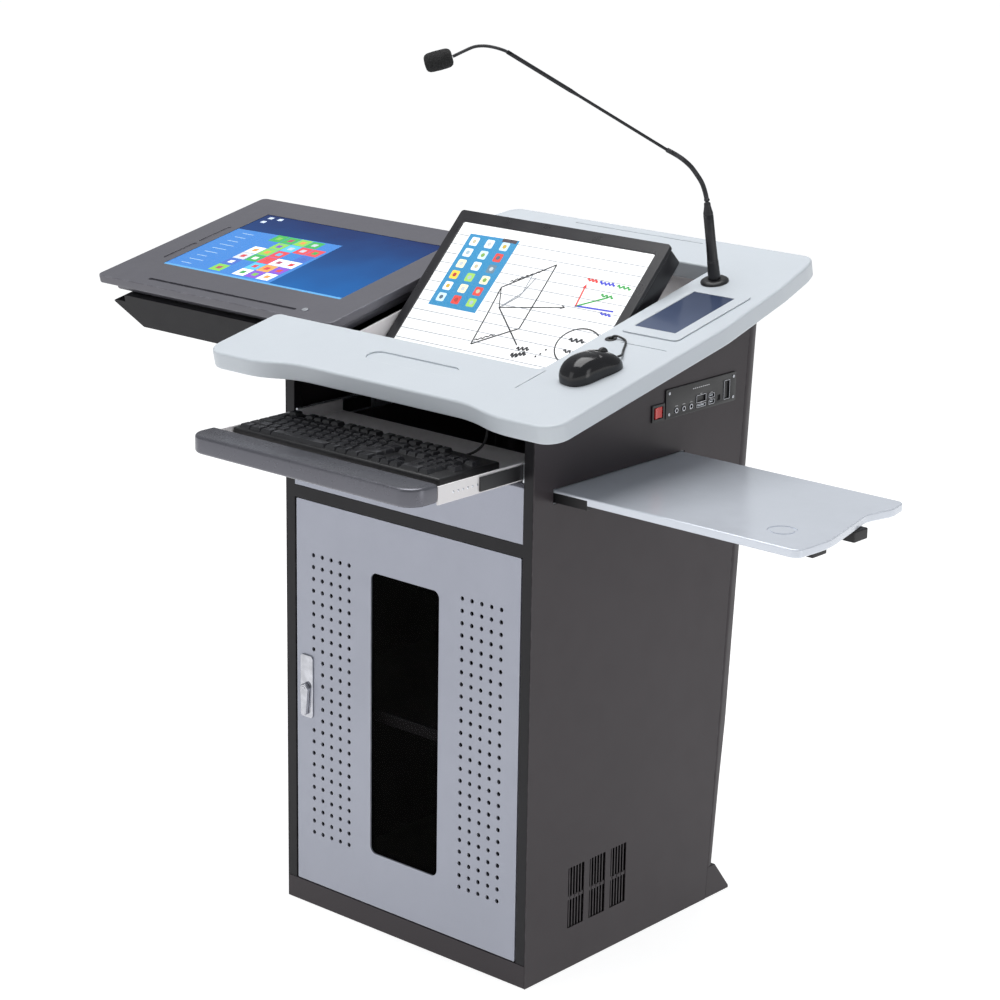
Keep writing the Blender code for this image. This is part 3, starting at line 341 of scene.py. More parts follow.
painted("graphite_paint", GRAPHITE, 0.34, 0.1, 0.05, 0.05, 1300, 0.16, linear(96, 91, 95),
    Specular_IOR_Level=0.25)
painted("frame_paint", linear(28, 27, 30), 0.4, 0.1, 0.05, 0.05, 1300, 0.16, linear(74, 71, 74),
    Specular_IOR_Level=0.25)
painted("silver_paint", SILVER, 0.38, 0.35, 0.03, 0.05, 1500, 0.12, linear(214, 216, 222))
painted("desk_moulding", DESK_GREY, 0.36, 0.0, 0.018, 0.02, 1100, 0.06, linear(236, 238, 240))
painted("well_paint", linear(228, 225, 226), 0.45, 0.0, 0.03, 0.03, 1300, 0.1, linear(245, 245, 245))
smoked_glass("window_pane")
brushed("chrome_trim", linear(186, 187, 193), 0.2, (60, 60, 60))
brushed("plain_steel", linear(206, 209, 214), 0.3)
painted("bullnose_plastic", linear(100, 100, 107), 0.26, 0.6, 0.05, 0.07, 1600, 0.16, linear(160, 160, 166))
painted("black_plastic", BLACK, 0.38, 0.0, 0.08, 0.05, 1700, 0.16, linear(70, 70, 72))
painted("shelf_paint", linear(214, 219, 228), 0.2, 0.25, 0.02, 0.04, 1500, 0.05)
painted("shelf_frame", linear(20, 19, 21), 0.48, 0.1, 0.06, 0.05, 1300, 0.18, linear(100, 98, 100))
painted("display_black", linear(30, 29, 33), 0.3, 0.0, 0.06, 0.05, 1700, 0.1, linear(66, 66, 71))
painted("console_plastic", linear(98, 97, 104), 0.36, 0.25, 0.05, 0.06, 1500, 0.14, linear(168, 168, 174))
painted("red_plastic", linear(214, 26, 22), 0.22, 0.0, 0.08, 0.02, 1200, 0.04, linear(240, 90, 80))
painted("mic_metal", linear(30, 30, 33), 0.34, 0.2, 0.08, 0.05, 1700, 0.12, linear(86, 86, 90))
foam("mic_foam")
painted("mouse_shell", linear(22, 22, 25), 0.14, 0.0, 0.08, 0.03, 1900, 0.03, None, 0.04)
rubber("cord_sheath")
painted("key_plastic", linear(36, 36, 39), 0.3, 0.0, 0.1, 0.06, 1900, 0.14, linear(96, 96, 100), 0.08)
lit_glass("paper_screen", linear(240, 241, 241), linear(252, 252, 252), 0, -0.24, 0.17, 0.3)
lit_glass("blue_screen", linear(0, 84, 150), linear(0, 30, 84), 1, 0.2, 0.47, 0.35)
lit_glass("touch_glass", linear(84, 94, 118), linear(50, 60, 84), 1, 0.27, 0.43, 0.06)
ink("screen_ink", 0.4)
ink("panel_marks", 0.0)


# ---- shapes

def rounded(corners, step=radians(8)):
    """Closed outline through (x, y, radius) corners, with an arc at each corner that has a radius."""
    points = []
    for index, (x, y, radius) in enumerate(corners):
        here = Vector((x, y))
        if radius == 0:
            points.append(here)
            continue
        back = (Vector(corners[index - 1][:2]) - here).normalized()
        ahead = (Vector(corners[(index + 1) % len(corners)][:2]) - here).normalized()
        turn = pi - back.angle(ahead)
        centre = here + (back + ahead).normalized() * radius / cos(turn / 2)
        reach = radius * tan(turn / 2)
        start = here + back * reach - centre
        side = 1 if start.cross(here + ahead * reach - centre) > 0 else -1
        count = max(1, ceil(turn / step))
        for number in range(count + 1):
            points.append(centre + Matrix.Rotation(side * turn * number / count, 2) @ start)
    return points


def rectangle(x0, y0, x1, y1, radius=0.0):
    return rounded([(x0, y0, radius), (x1, y0, radius), (x1, y1, radius), (x0, y1, radius)])


def circle(x, y, radius, count=16):
    turns = [2 * pi * number / count for number in range(count)]
    return [Vector((x + radius * cos(turn), y + radius * sin(turn))) for turn in turns]


def smooth_route(points, pieces=4):
    """Catmull-Rom curve through the points."""
    ring = [Vector(point) for point in points]
    ends = [2 * ring[0] - ring[1]] + ring + [2 * ring[-1] - ring[-2]]
    route = []
    for a, b, c, d in zip(ends, ends[1:], ends[2:], ends[3:]):
        for number in range(pieces):
            t = number / pieces
            route.append(0.5 * (2 * b + (c - a) * t + (2 * a - 5 * b + 4 * c - d) * t ** 2 +
                (3 * b - 3 * c + d - a) * t ** 3))
    return route + [ring[-1]]


def mesh_of(shape):
    """Mesh from a bmesh, which is used up."""
    mesh = bpy.data.meshes.new("mesh")
    shape.to_mesh(mesh)
    shape.free()
    return mesh


def skin(shape, one, two):
    """Faces between two closed rings of vertices."""
    for number in range(len(one)):
        after = (number + 1) % len(one)
        shape.faces.new((one[number], one[after], two[after], two[number]))


def shown(name, mesh, slot, body, replaces=(), surface=None):
    """Object at the origin with its final mesh, material, body and the CAD nodes that it stands for."""
    mesh.name = name
    obj = placed(name, mesh)
    mesh.materials.clear()
    mesh.materials.append(MATERIALS[surface or slot])
    if body:
        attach(obj, body)
    if replaces:
        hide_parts(*replaces)
    return obj


def shaded(mesh, angle=35):
    mesh.shade_smooth()
    mesh.set_sharp_from_angle(angle=radians(angle))
    return mesh


def baked(obj):
    """Final mesh of an object and its modifiers, in world places. The object goes."""
    bpy.context.view_layer.update()
    mesh = bpy.data.meshes.new_from_object(obj.evaluated_get(bpy.context.evaluated_depsgraph_get()))
    mesh.transform(obj.matrix_world)
    data = obj.data
    bpy.data.objects.remove(obj)
    if isinstance(data, bpy.types.Mesh):
        bpy.data.meshes.remove(data)
    else:
        bpy.data.curves.remove(data)
    return mesh


def plate_mesh(outlines, depth, matrix, edge=0.0, resolution=2):
    """Flat outline, with holes, depth thick behind its frame's z = 0."""
    curve = bpy.data.curves.new("plate", "CURVE")
    curve.dimensions = "2D"
    curve.fill_mode = "BOTH"
    curve.extrude = depth / 2 - edge
    curve.bevel_depth = edge
    curve.bevel_resolution = resolution
    curve.offset = -edge
    for outline in outlines:
        spline = curve.splines.new("POLY")
        spline.points.add(len(outline) - 1)
        for point, (x, y) in zip(spline.points, outline):
            point.co = (x, y, 0, 1)
        spline.use_cyclic_u = True
    obj = placed("plate", curve)
    obj.matrix_world = matrix @ at(0, 0, -depth / 2)
    mesh = baked(obj)
    welded = bmesh.new()
    welded.from_mesh(mesh)
    bmesh.ops.remove_doubles(welded, verts=welded.verts, dist=1e-6)
    bmesh.ops.recalc_face_normals(welded, faces=welded.faces)
    if welded.calc_volume(signed=True) < 0:
        bmesh.ops.reverse_faces(welded, faces=welded.faces)
    welded.to_mesh(mesh)
    welded.free()
    return mesh


def block_mesh(low, high, matrix=None, bevel=0.0, segments=3):
    low, high = Vector(low), Vector(high)
    shape = bmesh.new()
    bmesh.ops.create_cube(shape, size=1.0, matrix=Matrix.Translation((low + high) / 2) @
        Matrix.Diagonal((*(high - low), 1.0)))
    if bevel:
        bmesh.ops.bevel(shape, geom=shape.edges[:], offset=bevel, segments=segments, profile=0.5,
            affect="EDGES", clamp_overlap=True)
    mesh = mesh_of(shape)
    if matrix:
        mesh.transform(matrix)
    return mesh


def turned_mesh(profile, matrix, steps=40, closed=False):
    """Solid of revolution about its frame's z axis, from (radius, height) points."""
    shape = bmesh.new()
    rings = []
    for radius, height in profile:
        if radius == 0:
            rings.append([shape.verts.new((0, 0, height))])
            continue
        turns = [2 * pi * number / steps for number in range(steps)]
        rings.append([shape.verts.new((radius * cos(t), radius * sin(t), height)) for t in turns])
    pairs = list(zip(rings, rings[1:]))
    if closed:
        pairs.append((rings[-1], rings[0]))
    for one, two in pairs:
        for number in range(steps):
            after = (number + 1) % steps
            if len(one) == 1:
                shape.faces.new((one[0], two[number], two[after]))
            elif len(two) == 1:
                shape.faces.new((one[number], two[0], one[after]))
            else:
                shape.faces.new((one[number], two[number], two[after], one[after]))
    bmesh.ops.recalc_face_normals(shape, faces=shape.faces)
    mesh = mesh_of(shape)
    mesh.transform(matrix)
    return mesh


def swept_mesh(route, radius, sides=14):
    """Round tube along a route. The radius is a number, or a function of the distance along it."""
    shape = bmesh.new()
    rings = []
    normal = None
    distance = 0.0
    for index, here in enumerate(route):
        before, after = route[max(index - 1, 0)], route[min(index + 1, len(route) - 1)]
        tangent = (after - before).normalized()
        if normal is None:
            normal = tangent.orthogonal().normalized()
        normal = (normal - tangent * normal.dot(tangent)).normalized()
        side = tangent.cross(normal)
        if index:
            distance += (here - route[index - 1]).length
        size = radius(distance) if callable(radius) else radius
        ring = []
        for number in range(sides):
            turn = 2 * pi * number / sides
            ring.append(shape.verts.new(here + size * (cos(turn) * normal + sin(turn) * side)))
        rings.append(ring)
    for one, two in zip(rings, rings[1:]):
        skin(shape, one, two)
    shape.faces.new(reversed(rings[0]))
    shape.faces.new(rings[-1])
    mesh = mesh_of(shape)
    return mesh


def merged(meshes):
    """One mesh from several, which are used up."""
    shape = bmesh.new()
    for mesh in meshes:
        shape.from_mesh(mesh)
        bpy.data.meshes.remove(mesh)
    return mesh_of(shape)


def cut_away(mesh, tools):
    """The mesh less the closed tool meshes, which are used up."""
    obj = placed("to_cut", mesh)
    helpers = []
    for tool in tools:
        helper = placed("cutter", tool)
        helpers.append(helper)
        modifier = obj.modifiers.new("cut", "BOOLEAN")
        modifier.operation, modifier.solver, modifier.object = "DIFFERENCE", "EXACT", helper
    result = baked(obj)
    for helper in helpers:
        data = helper.data
        bpy.data.objects.remove(helper)
        bpy.data.meshes.remove(data)
    return result


def weighted(obj):
    """Shading that keeps large faces flat and lets their rounded edges roll."""
    modifier = obj.modifiers.new("even_shading", "WEIGHTED_NORMAL")
    modifier.keep_sharp = True
    modifier.weight = 80


def carried(node, slot, bevel=0.0008, surface=None):
    """CAD node that stays, with a better material and softly broken edges."""
    obj = NODES[node]
    obj.data.materials.clear()
    obj.data.materials.append(MATERIALS[surface or slot])
    for polygon in obj.data.polygons:
        polygon.material_index = 0
        polygon.use_smooth = True
    normals = obj.data.attributes.get("custom_normal")
    if normals:
        obj.data.attributes.remove(normals)
    obj.modifiers.new("weld", "WELD").merge_threshold = 1e-5
    flat = obj.modifiers.new("flat_faces", "DECIMATE")
    flat.decimate_type, flat.angle_limit = "DISSOLVE", radians(0.5)
    if bevel:
        soft = obj.modifiers.new("soft_edges", "BEVEL")
        soft.width, soft.segments, soft.limit_method = bevel, 2, "ANGLE"
        soft.angle_limit = radians(32)
    weighted(obj)
    return obj


# ---- cords

KEYBOARD_ROUTE = [(0.125, -0.0105, 0.848), (0.1262, -0.0045, 0.8482), (0.13, -0.0005, 0.8495),
    (0.137, 0.001, 0.8528), (0.146, 0.0012, 0.858), (0.155, 0.0005, 0.8645), (0.162, -0.0004, 0.8715),
    (0.1672, -0.0013, 0.8785), (0.1718, -0.003, 0.888), (0.1752, -0.0058, 0.8985), (0.1776, -0.0094, 0.909),
    (0.1792, -0.0124, 0.919), (0.1797, -0.0136, 0.929)]
MOUSE_ROUTE = [(0.2968, 0.1572, 0.0085), (0.2962, 0.164, 0.007), (0.2915, 0.1735, 0.0042),
    (0.285, 0.183, 0.0026), (0.2785, 0.193, 0.0022), (0.2725, 0.203, 0.0022), (0.2668, 0.213, 0.0022),
    (0.2605, 0.2215, 0.0024), (0.2525, 0.2268, 0.0028), (0.2455, 0.2282, 0.0038), (0.239, 0.2276, 0.0052),
    (0.2335, 0.226, 0.0048), (0.2302, 0.2249, 0.0012), (0.2293, 0.2244, -0.005), (0.2291, 0.2243, -0.012)]


def make_cord(name, points, diameter, nodes):
    """Limp cord that leaves one body and goes into the other along a fixed curved route; it belongs to no body.
    """
    route = smooth_route(points)
    cord = shown(name, shaded(swept_mesh(route, diameter / 2, 16), 60), "cord_sheath", None, nodes)
    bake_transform(cord)


def make_cords():
    make_cord("keyboard_cord_run", KEYBOARD_ROUTE, 0.004,
        ("keyboard_cord", "keyboard_cord_upper"))
    mouse_route = [DESK @ Vector(point) for point in MOUSE_ROUTE]
    make_cord("mouse_cord_run", mouse_route, 0.0035, ("mouse_cord", "mouse_cord_end"))


make_camera()
make_cords()
make_studio()
make_floor()


# ---- cabinet

def make_side_panel():
    """Right side panel with the shelf slot, the switch opening and three vents, each backed by upright ribs."""
    z_front, z_rear = 0.93363, 1.0477
    outline = rounded([(0.0003, 0, 0), (0.4717, 0, 0), (0.53752, z_rear, 0), (0.0003, z_front, 0)])
    slot = [(0.045, 0.788), (0.108, 0.788), (0.108, 0.778), (0.262, 0.778), (0.262, 0.788), (0.37, 0.788),
        (0.37, 0.812), (0.045, 0.812)]
    holes = [slot, rectangle(0.2825, 0.8745, 0.3095, 0.8975)]
    vent_low, vent_high, vent_width, vent_pitch = 0.07, 0.174, 0.04, 0.0535
    ribs = []
    for group in range(3):
        left = 0.103 + group * vent_pitch
        holes.append(rectangle(left, vent_low, left + vent_width, vent_high, 0.0015))
        for number in range(5):
            y = left + 0.0042 + number * 0.0072
            ribs.append(block_mesh((0.2629, y, 0.068), (0.2634, y + 0.0028, 0.176), None, 0.0002, 1))
        for number in range(3):
            y = left + 0.0066 + number * 0.0112
            ribs.append(block_mesh((0.2636, y, 0.1185), (0.2648, y + 0.005, 0.124), None, 0.0004, 1))
        ribs.append(block_mesh((0.2634, left - 0.001, 0.118), (0.2637, left + 0.041, 0.1245)))
    shown("vent_ribs", merged(ribs), "graphite_paint", "root")
    mesh = plate_mesh([outline] + holes, 0.0015, facing_right(PANEL_FACE))
    shown("side_panel_vented", shaded(mesh), "graphite_paint", "root", ["side_panel_right"])


def make_door():
    """Perforated door sheet: five columns of round holes each side of the window."""
    outlines = [rectangle(-0.2415, 0.0403, 0.2415, 0.7075, 0.002), rectangle(-0.074, 0.134, 0.074, 0.617,
        0.012)]
    columns, rows, pitch, radius = 5, 25, 0.0202, 0.0038
    for side in (-1, 1):
        for column in range(columns):
            x = side * (0.1225 + column * pitch)
            for row in range(rows):
                z = 0.1325 + row * pitch
                beside_lock = side < 0 and column == columns - 1 and 0.325 < z < 0.452
                if not beside_lock:
                    outlines.append(circle(x, z, radius, 14))
    outlines.append(circle(LOCK_X, LOCK_Z, 0.0043))
    sheet = plate_mesh(outlines, 0.003, facing_front(0.0012))
    lugs = []
    for low in (0.0403, 0.6875):
        lugs.append(block_mesh((0.231, 0.0042, low), (0.239, 0.0105, low + 0.02), None, 0.0006))
    shown("perforated_door", shaded(merged([sheet] + lugs)), "silver_paint", "door", ["door_panel"])


def make_lock():
    """Chrome guard plate with a hole for the barrel, a swing handle, and a key barrel with a key slot."""
    face = facing_front(-0.0015)
    guard = plate_mesh([rectangle(-0.232, 0.334, -0.204, 0.443, 0.006), circle(LOCK_X, LOCK_Z, 0.0043)],
        0.0024, face, edge=0.0008)
    shown("lock_guard", shaded(guard), "chrome_trim", "door", ["lock_escutcheon"])
    x, z = LOCK_X, LOCK_Z
    lever = []
    for start, radius, height in ((0, 0.009, z), (180, 0.005, z - 0.041)):
        for number in range(13):
            turn = radians(start + 15 * number)
            lever.append(Vector((x + radius * cos(turn), height + radius * sin(turn))))
    grip = plate_mesh([lever], 0.007, facing_front(-0.0088), edge=0.0018, resolution=4)
    barrel = turned_mesh([(0, 0.0006), (0.0044, 0.0006), (0.005, 0.0), (0.005, -0.001), (0, -0.001)],
        at(x, -0.0088, z) @ Matrix.Rotation(pi / 2, 4, "X"), 28)
    slot = block_mesh((x - 0.0005, -0.0102, z - 0.0024), (x + 0.0005, -0.009, z + 0.0024))
    handle = cut_away(merged([grip, barrel]), [slot])
    shown("lock_handle", shaded(handle, 40), "chrome_trim", "lock", ["swing_handle"])


def carry_cabinet():
    for node in ("base_plinth", "side_panel_left", "rear_foot"):
        carried(node, "graphite_paint")
    carried("rear_cover", "graphite_paint", 0)
    carried("front_frame", "frame_paint", 0.0012)
    carried("upper_front_panel", "silver_paint", 0.0005)
    carried("inner_shelf", "shelf_frame", 0.0008, surface="graphite_paint")
    carried("door_window", "window_pane", 0)
    for node in ("lock_spindle_cam", "door_hinge_lower", "door_hinge_upper", "monitor_hinge_pin"):
        carried(node, "plain_steel", 0)
    for node in ("tray_slide_outer_left", "tray_slide_outer_right", "shelf_guide_front", "shelf_guide_rear",
            "monitor_bracket_left", "monitor_bracket_right"):
        carried(node, "plain_steel", 0.0005)
    carried("monitor_well", "well_paint", 0.0004)


# ---- sloped top

def desktop_outline():
    wing, middle, half_width = -0.0838, -0.0639, 0.368
    half = [(0.185, middle, 0.2), (0.249, wing, 0.2), (half_width, wing, 0.035)]
    rear = [(0.349, 0.5183, 0.25), (0.3335, 0.603, 0.12), (0.32, 0.642, 0.028)]
    corners = [(-x, v, radius) for x, v, radius in reversed(half)] + half
    corners += [(half_width, 0.3374, 0.25)] + rear
    corners += [(-x, v, radius) for x, v, radius in reversed(rear[1:])]
    corners += [(-0.347, 0.5388, 0.012), (0.193, 0.5388, 0.012), (0.203, 0.0859, 0.012),
        (-half_width, 0.0859, 0.014)]
    return rounded(corners, radians(4))


def make_desktop():
    """Moulded top with rolled edges, a pen recess, three fine grooves and the cord hole."""
    top = plate_mesh([desktop_outline()], 0.03, DESK, edge=0.0042, resolution=4)
    lifted = DESK @ at(0, 0, 0.01)
    tools = [plate_mesh([rectangle(-0.095, 0.0, 0.09, 0.0348, 0.0172)], 0.0125, lifted)]
    line = 0.0019
    for low, high in (((0.2135, 0.012), (0.2135 + line, 0.084)), ((0.25, 0.2198), (0.34, 0.2198 + line)),
            ((-0.165, 0.619), (0.11, 0.619 + line))):
        tools.append(block_mesh((*low, -line), (*high, 0.01), DESK))
    tools.append(turned_mesh([(0, 0.05), (0.008, 0.05), (0.008, 0), (0, 0)],
        DESK @ at(0.229, 0.2243, -0.04)))
    mesh = cut_away(top, tools)
    mesh.shade_smooth()
    mesh.set_sharp_from_angle(angle=radians(40))
    weighted(shown("moulded_top", mesh, "desk_moulding", "root", ["desktop"]))


def make_touch_panel():
    carried("touch_bezel", "desk_moulding", 0)
    carried("touch_screen", "display_panel", 0, surface="touch_glass")
    carried("cord_grommet", "black_plastic", 0.0003)


# ---- connectors and switch

def side_ring(y, z, outer, inner, height=0.0012, sides=24):
    """Round jack on the connector panel: a collar with a bore."""
    profile = [(inner, height), (outer - 0.0004, height), (outer, height - 0.0004), (outer, 0), (inner, 0)]
    place = at(CONNECTOR_FACE, y, z) @ Matrix.Rotation(pi / 2, 4, "Y")
    return turned_mesh(profile, place, sides, True)


def make_connectors():
    """Black panel with sockets cut into it, metal collars and shells, and plain printed marks."""
    sockets = [(0.341, 0.8825), (0.36, 0.8825), (0.379, 0.8825)]
    holes = [circle(y, z, 0.0032, 20) for y, z in sockets]
    shells = [(0.393, 0.886, 0.417, 0.897), (0.3935, 0.878, 0.4165, 0.882), (0.4255, 0.878, 0.4395, 0.884),
        (0.4255, 0.8885, 0.4395, 0.8945), (0.447, 0.88, 0.456, 0.889), (0.466, 0.879, 0.48, 0.909)]
    holes += [rectangle(*shell, 0.0008) for shell in shells]
    face = [rectangle(0.314, 0.872, 0.498, 0.92, 0.002)]
    plate = plate_mesh(face + holes, 0.0022, facing_right(CONNECTOR_FACE), edge=0.0003)
    backing = block_mesh((0.2653, 0.32, 0.875), (0.26545, 0.492, 0.915))
    shown("connector_plate", shaded(merged([plate, backing])), "black_plastic", "root", ["io_panel"])
    metal = [side_ring(y, z, 0.0044, 0.0028) for y, z in sockets]
    for y0, z0, y1, z1 in shells[:4] + shells[5:]:
        rim = 0.0007
        metal.append(plate_mesh([rectangle(y0 - rim, z0 - rim, y1 + rim, z1 + rim, 0.0012),
            rectangle(y0, z0, y1, z1, 0.0008)], 0.0009, facing_right(0.2684)))
    for y, z in ((0.322, 0.913), (0.491, 0.913), (0.322, 0.879), (0.491, 0.879)):
        metal.append(side_ring(y, z, 0.0026, 0.0007, 0.0009, 20))
    shown("connector_shells", shaded(merged(metal)), "chrome_trim", "root")
    tongues = [block_mesh((0.2656, y0 + 0.003, (z0 + z1) / 2 - 0.0008),
        (0.2674, y1 - 0.003, (z0 + z1) / 2 + 0.0008)) for y0, z0, y1, z1 in shells[1:4]]
    shown("connector_tongues", merged(tongues), "desk_moulding", "root")
    strokes = []
    for number in range(9):
        start = 0.383 + number * 0.005
        strokes.append(([(start, 0.9105), (start + 0.0032, 0.9105)], 0.0016, (0.55, 0.55, 0.56)))
    for y, z in sockets:
        strokes.append(([(y - 0.0035, z + 0.0075), (y + 0.0035, z + 0.0075)], 0.001, (0.5, 0.5, 0.5)))
    for y0, z0, y1, z1 in shells[:4]:
        strokes.append(([((y0 + y1) / 2 - 0.003, z1 + 0.0022), ((y0 + y1) / 2 + 0.003, z1 + 0.0022)],
            0.0009, (0.5, 0.5, 0.5)))
    draw("connector_marks", facing_right(0.26752), [], strokes, "root", "black_plastic", "panel_marks")


def make_switch():
    carried("switch_housing", "black_plastic", 0.0004)
    carried("power_rocker", "red_plastic", 0.0008)


# ---- pictures on the screens

def stroke_outline(points, width):
    """Closed strip of one width along an open line."""
    left, right = [], []
    for index, point in enumerate(points):
        here = Vector(point)
        before, after = Vector(points[max(index - 1, 0)]), Vector(points[min(index + 1, len(points) - 1)])
        ahead = (after - before).normalized()
        side = Vector((-ahead.y, ahead.x)) * width / 2
        left.append(here + side)
        right.append(here - side)
    return left, right


def draw(name, matrix, patches, strokes, body, slot, surface="screen_ink", step=0.00004):
    """Flat coloured shapes, each level a hair above the one before."""
    shape = bmesh.new()
    colours = []
    for outline, colour, level in patches:
        shape.faces.new([shape.verts.new((x, y, level * step)) for x, y in outline])
        colours.append(colour)
    for points, width, colour in strokes:
        left, right = stroke_outline(points, width)
        top = 6 * step
        left = [shape.verts.new((*point, top)) for point in left]
        right = [shape.verts.new((*point, top)) for point in right]
        for index in range(len(left) - 1):
            shape.faces.new((left[index], right[index], right[index + 1], left[index + 1]))
            colours.append(colour)
    mesh = mesh_of(shape)
    layer = mesh.color_attributes.new("ink", "FLOAT_COLOR", "CORNER")
    for polygon, colour in zip(mesh.polygons, colours):
        for loop in polygon.loop_indices:
            layer.data[loop].color = (*colour, 1)
    mesh.transform(matrix)
    return shown(name, mesh, slot, body, surface=surface)


def wavy(x, y, length, height, turns, slope=0.0, count=26):
    """Hand-drawn squiggle that stands for a word and says nothing."""
    points = []
    for number in range(count + 1):
        t = number / count
        swing = sin(t * turns * 2 * pi) * height * (0.7 + 0.3 * sin(t * 17))
        points.append((x + t * length, y + slope * t * length + swing))
    return points


def oval(x, y, rx, ry, start, end, count=36):
    turns = [radians(start + (end - start) * number / count) for number in range(count + 1)]
    return [(x + rx * cos(turn), y + ry * sin(turn)) for turn in turns]


def make_monitor_picture():
    """Ruled page with a blue tool palette, a sketched plane, an oval and a small coloured graph."""
    rng = random.Random(11)
    left, right = -0.2396, 0.1686
    grey, black = linear(128, 134, 142), linear(24, 25, 28)
    rules, rule_pitch, pen_scale = 12, 0.0195, 1.6
    strokes = []

    def pen(tone, width, *lines):
        strokes.extend((line, width * pen_scale, tone) for line in lines)

    for number in range(rules):
        s = 0.022 + number * rule_pitch
        behind_palette = 0.0935 < s < 0.243
        for start, end in ((left, -0.2135), (-0.106, right)) if behind_palette else ((left, right),):
            strokes.append(([(start, s), (end, s)], 0.001, grey))
    panel = [(-0.2135, 0.0935), (-0.109, 0.0935), (-0.1045, 0.2435), (-0.2125, 0.2415)]
    patches = [(panel, linear(30, 128, 176), 1)]
    tile_tones = [linear(*tone) for tone in ((232, 240, 244), (196, 222, 236), (236, 226, 190),
        (150, 200, 90), (226, 236, 240), (90, 120, 140), (240, 200, 60), (214, 60, 50))]
    size = 0.017
    for row in range(6):
        for column in range(3):
            x = -0.204 + column * 0.0335
            s = 0.103 + row * 0.0232
            tone = tile_tones[(row * 3 + column * 5 + rng.randrange(3)) % len(tile_tones)]
            patches.append((rectangle(x, s, x + size, s + size, 0.003), tone, 2))
            mark = tile_tones[(row + column * 2 + 5) % len(tile_tones)]
            patches.append((circle(x + size / 2, s + size / 2, size * 0.24, 14), shade(mark, 0.6), 3))
    tab = [(-0.14, 0.236), (-0.109, 0.2365), (-0.109, 0.2435), (-0.14, 0.2432)]
    patches.append((tab, linear(60, 50, 60), 2))
    corners = [(-0.087, 0.1506), (-0.005, 0.2112), (-0.0055, 0.0816), (-0.0812, 0.036)]
    for a, b in zip(corners, corners[1:] + corners[:1]):
        middle = ((a[0] + b[0]) / 2 + 0.0006, (a[1] + b[1]) / 2 + 0.0006)
        pen(black, 0.0016, [a, middle, b])
    hub = (-0.0683, 0.1129)
    pen(black, 0.0013, [hub, (0.0566, 0.1354)])
    pen(black, 0.0015, [hub, (0.0085, 0.0512)])
    pen(black, 0.0012, [hub, (-0.087, 0.1506)])
    pen(grey, 0.0011, [hub, (-0.0398, 0.148), (-0.0398, 0.1857)])
    pen(linear(120, 124, 130), 0.0012, [(-0.064, 0.116), (-0.0418, 0.14), (-0.03, 0.18)])
    pen(black, 0.0014, [(0.05, 0.1325), (0.0575, 0.1357), (0.0505, 0.1385)])
    pen(black, 0.0013, wavy(-0.076, 0.164, 0.056, 0.0022, 7, 0.62), wavy(-0.079, 0.044, 0.033, 0.0018, 4,
        0.55))
    pen(black, 0.0022, wavy(0.008, 0.03, 0.027, 0.0055, 4, 0.35))
    pen(black, 0.0019, wavy(0.012, 0.044, 0.024, 0.004, 3, 0.2))
    pen(black, 0.0022, wavy(0.101, 0.079, 0.03, 0.004, 3, 0.1))
    pen(black, 0.002, wavy(0.102, 0.058, 0.027, 0.0032, 3, 0.0))
    pen(black, 0.0016, oval(0.124, 0.07, 0.043, 0.035, 20, 345))
    for x, s in ((0.0626, 0.0442), (0.0685, 0.0537), (0.056, 0.038)):
        patches.append((circle(x, s, 0.002, 12), black, 4))
    red, blue, green = linear(216, 50, 44), linear(52, 60, 190), linear(40, 150, 60)
    origin = (0.0762, 0.1419)
    pen(red, 0.0019, [origin, (0.0731, 0.183)])
    pen(green, 0.0019, [origin, (0.1272, 0.1681)])
    pen(blue, 0.0019, [(0.074, 0.1425), (0.1525, 0.1449)])
    pen(red, 0.0016, [(0.0705, 0.1775), (0.0731, 0.185), (0.076, 0.178)])
    pen(red, 0.002, wavy(0.07, 0.1945, 0.022, 0.0028, 3))
    pen(blue, 0.002, wavy(0.096, 0.193, 0.032, 0.003, 4))
    pen(green, 0.002, wavy(0.133, 0.1915, 0.028, 0.003, 3))
    pen(green, 0.0019, wavy(0.112, 0.17, 0.026, 0.0028, 3))
    pen(blue, 0.0019, wavy(0.13, 0.137, 0.022, 0.0026, 3))
    draw("monitor_picture", MONITOR @ at(0, 0, 0.0211), patches, strokes, "monitor", "display_panel")


def make_console_picture():
    """Blue page with a lighter panel of plain coloured tiles at its left."""
    rng = random.Random(5)
    low_x, high_x, low_v = -0.7765, -0.3385, 0.2018
    patches = [([(low_x, low_v), (-0.515, low_v), (-0.52, 0.398), (low_x, 0.39)], linear(16, 112, 190), 1),
        ([(low_x, low_v), (high_x, low_v), (high_x, low_v + 0.0065), (low_x, low_v + 0.0065)],
        linear(70, 150, 205), 2)]
    tones = [linear(*tone) for tone in ((26, 160, 60), (120, 60, 190), (210, 50, 60), (240, 240, 245),
        (70, 180, 230), (120, 190, 60), (230, 150, 60), (200, 205, 215), (170, 60, 90), (40, 90, 180))]
    size, gap = 0.0286, 0.0014
    for row in range(6):
        for column in range(5):
            x = -0.675 + column * (size + gap)
            v = 0.215 + row * (size + gap)
            if rng.random() < 0.1:
                continue
            tone = tones[rng.randrange(len(tones))]
            patches.append((rectangle(x, v, x + size, v + size, 0.0006), tone, 2))
            inner = tones[rng.randrange(len(tones))]
            third = size * 0.3
            patches.append((rectangle(x + third, v + third, x + size - third, v + size - third, 0.0012),
                shade(inner, 0.85), 3))
    strokes = []
    for number in range(9):
        v = 0.222 + number * 0.019
        strokes.append(([(-0.75, v), (-0.75 + 0.022 + 0.014 * rng.random(), v)], 0.0022,
            linear(150, 186, 216)))
    for x, v in ((-0.762, 0.43), (-0.762, 0.45), (-0.738, 0.45)):
        patches.append((rectangle(x, v, x + 0.011, v + 0.009, 0.001), linear(200, 215, 235), 2))
    draw("console_picture", DESK @ at(0, 0, -0.01535), patches, strokes, "console", "display_panel")


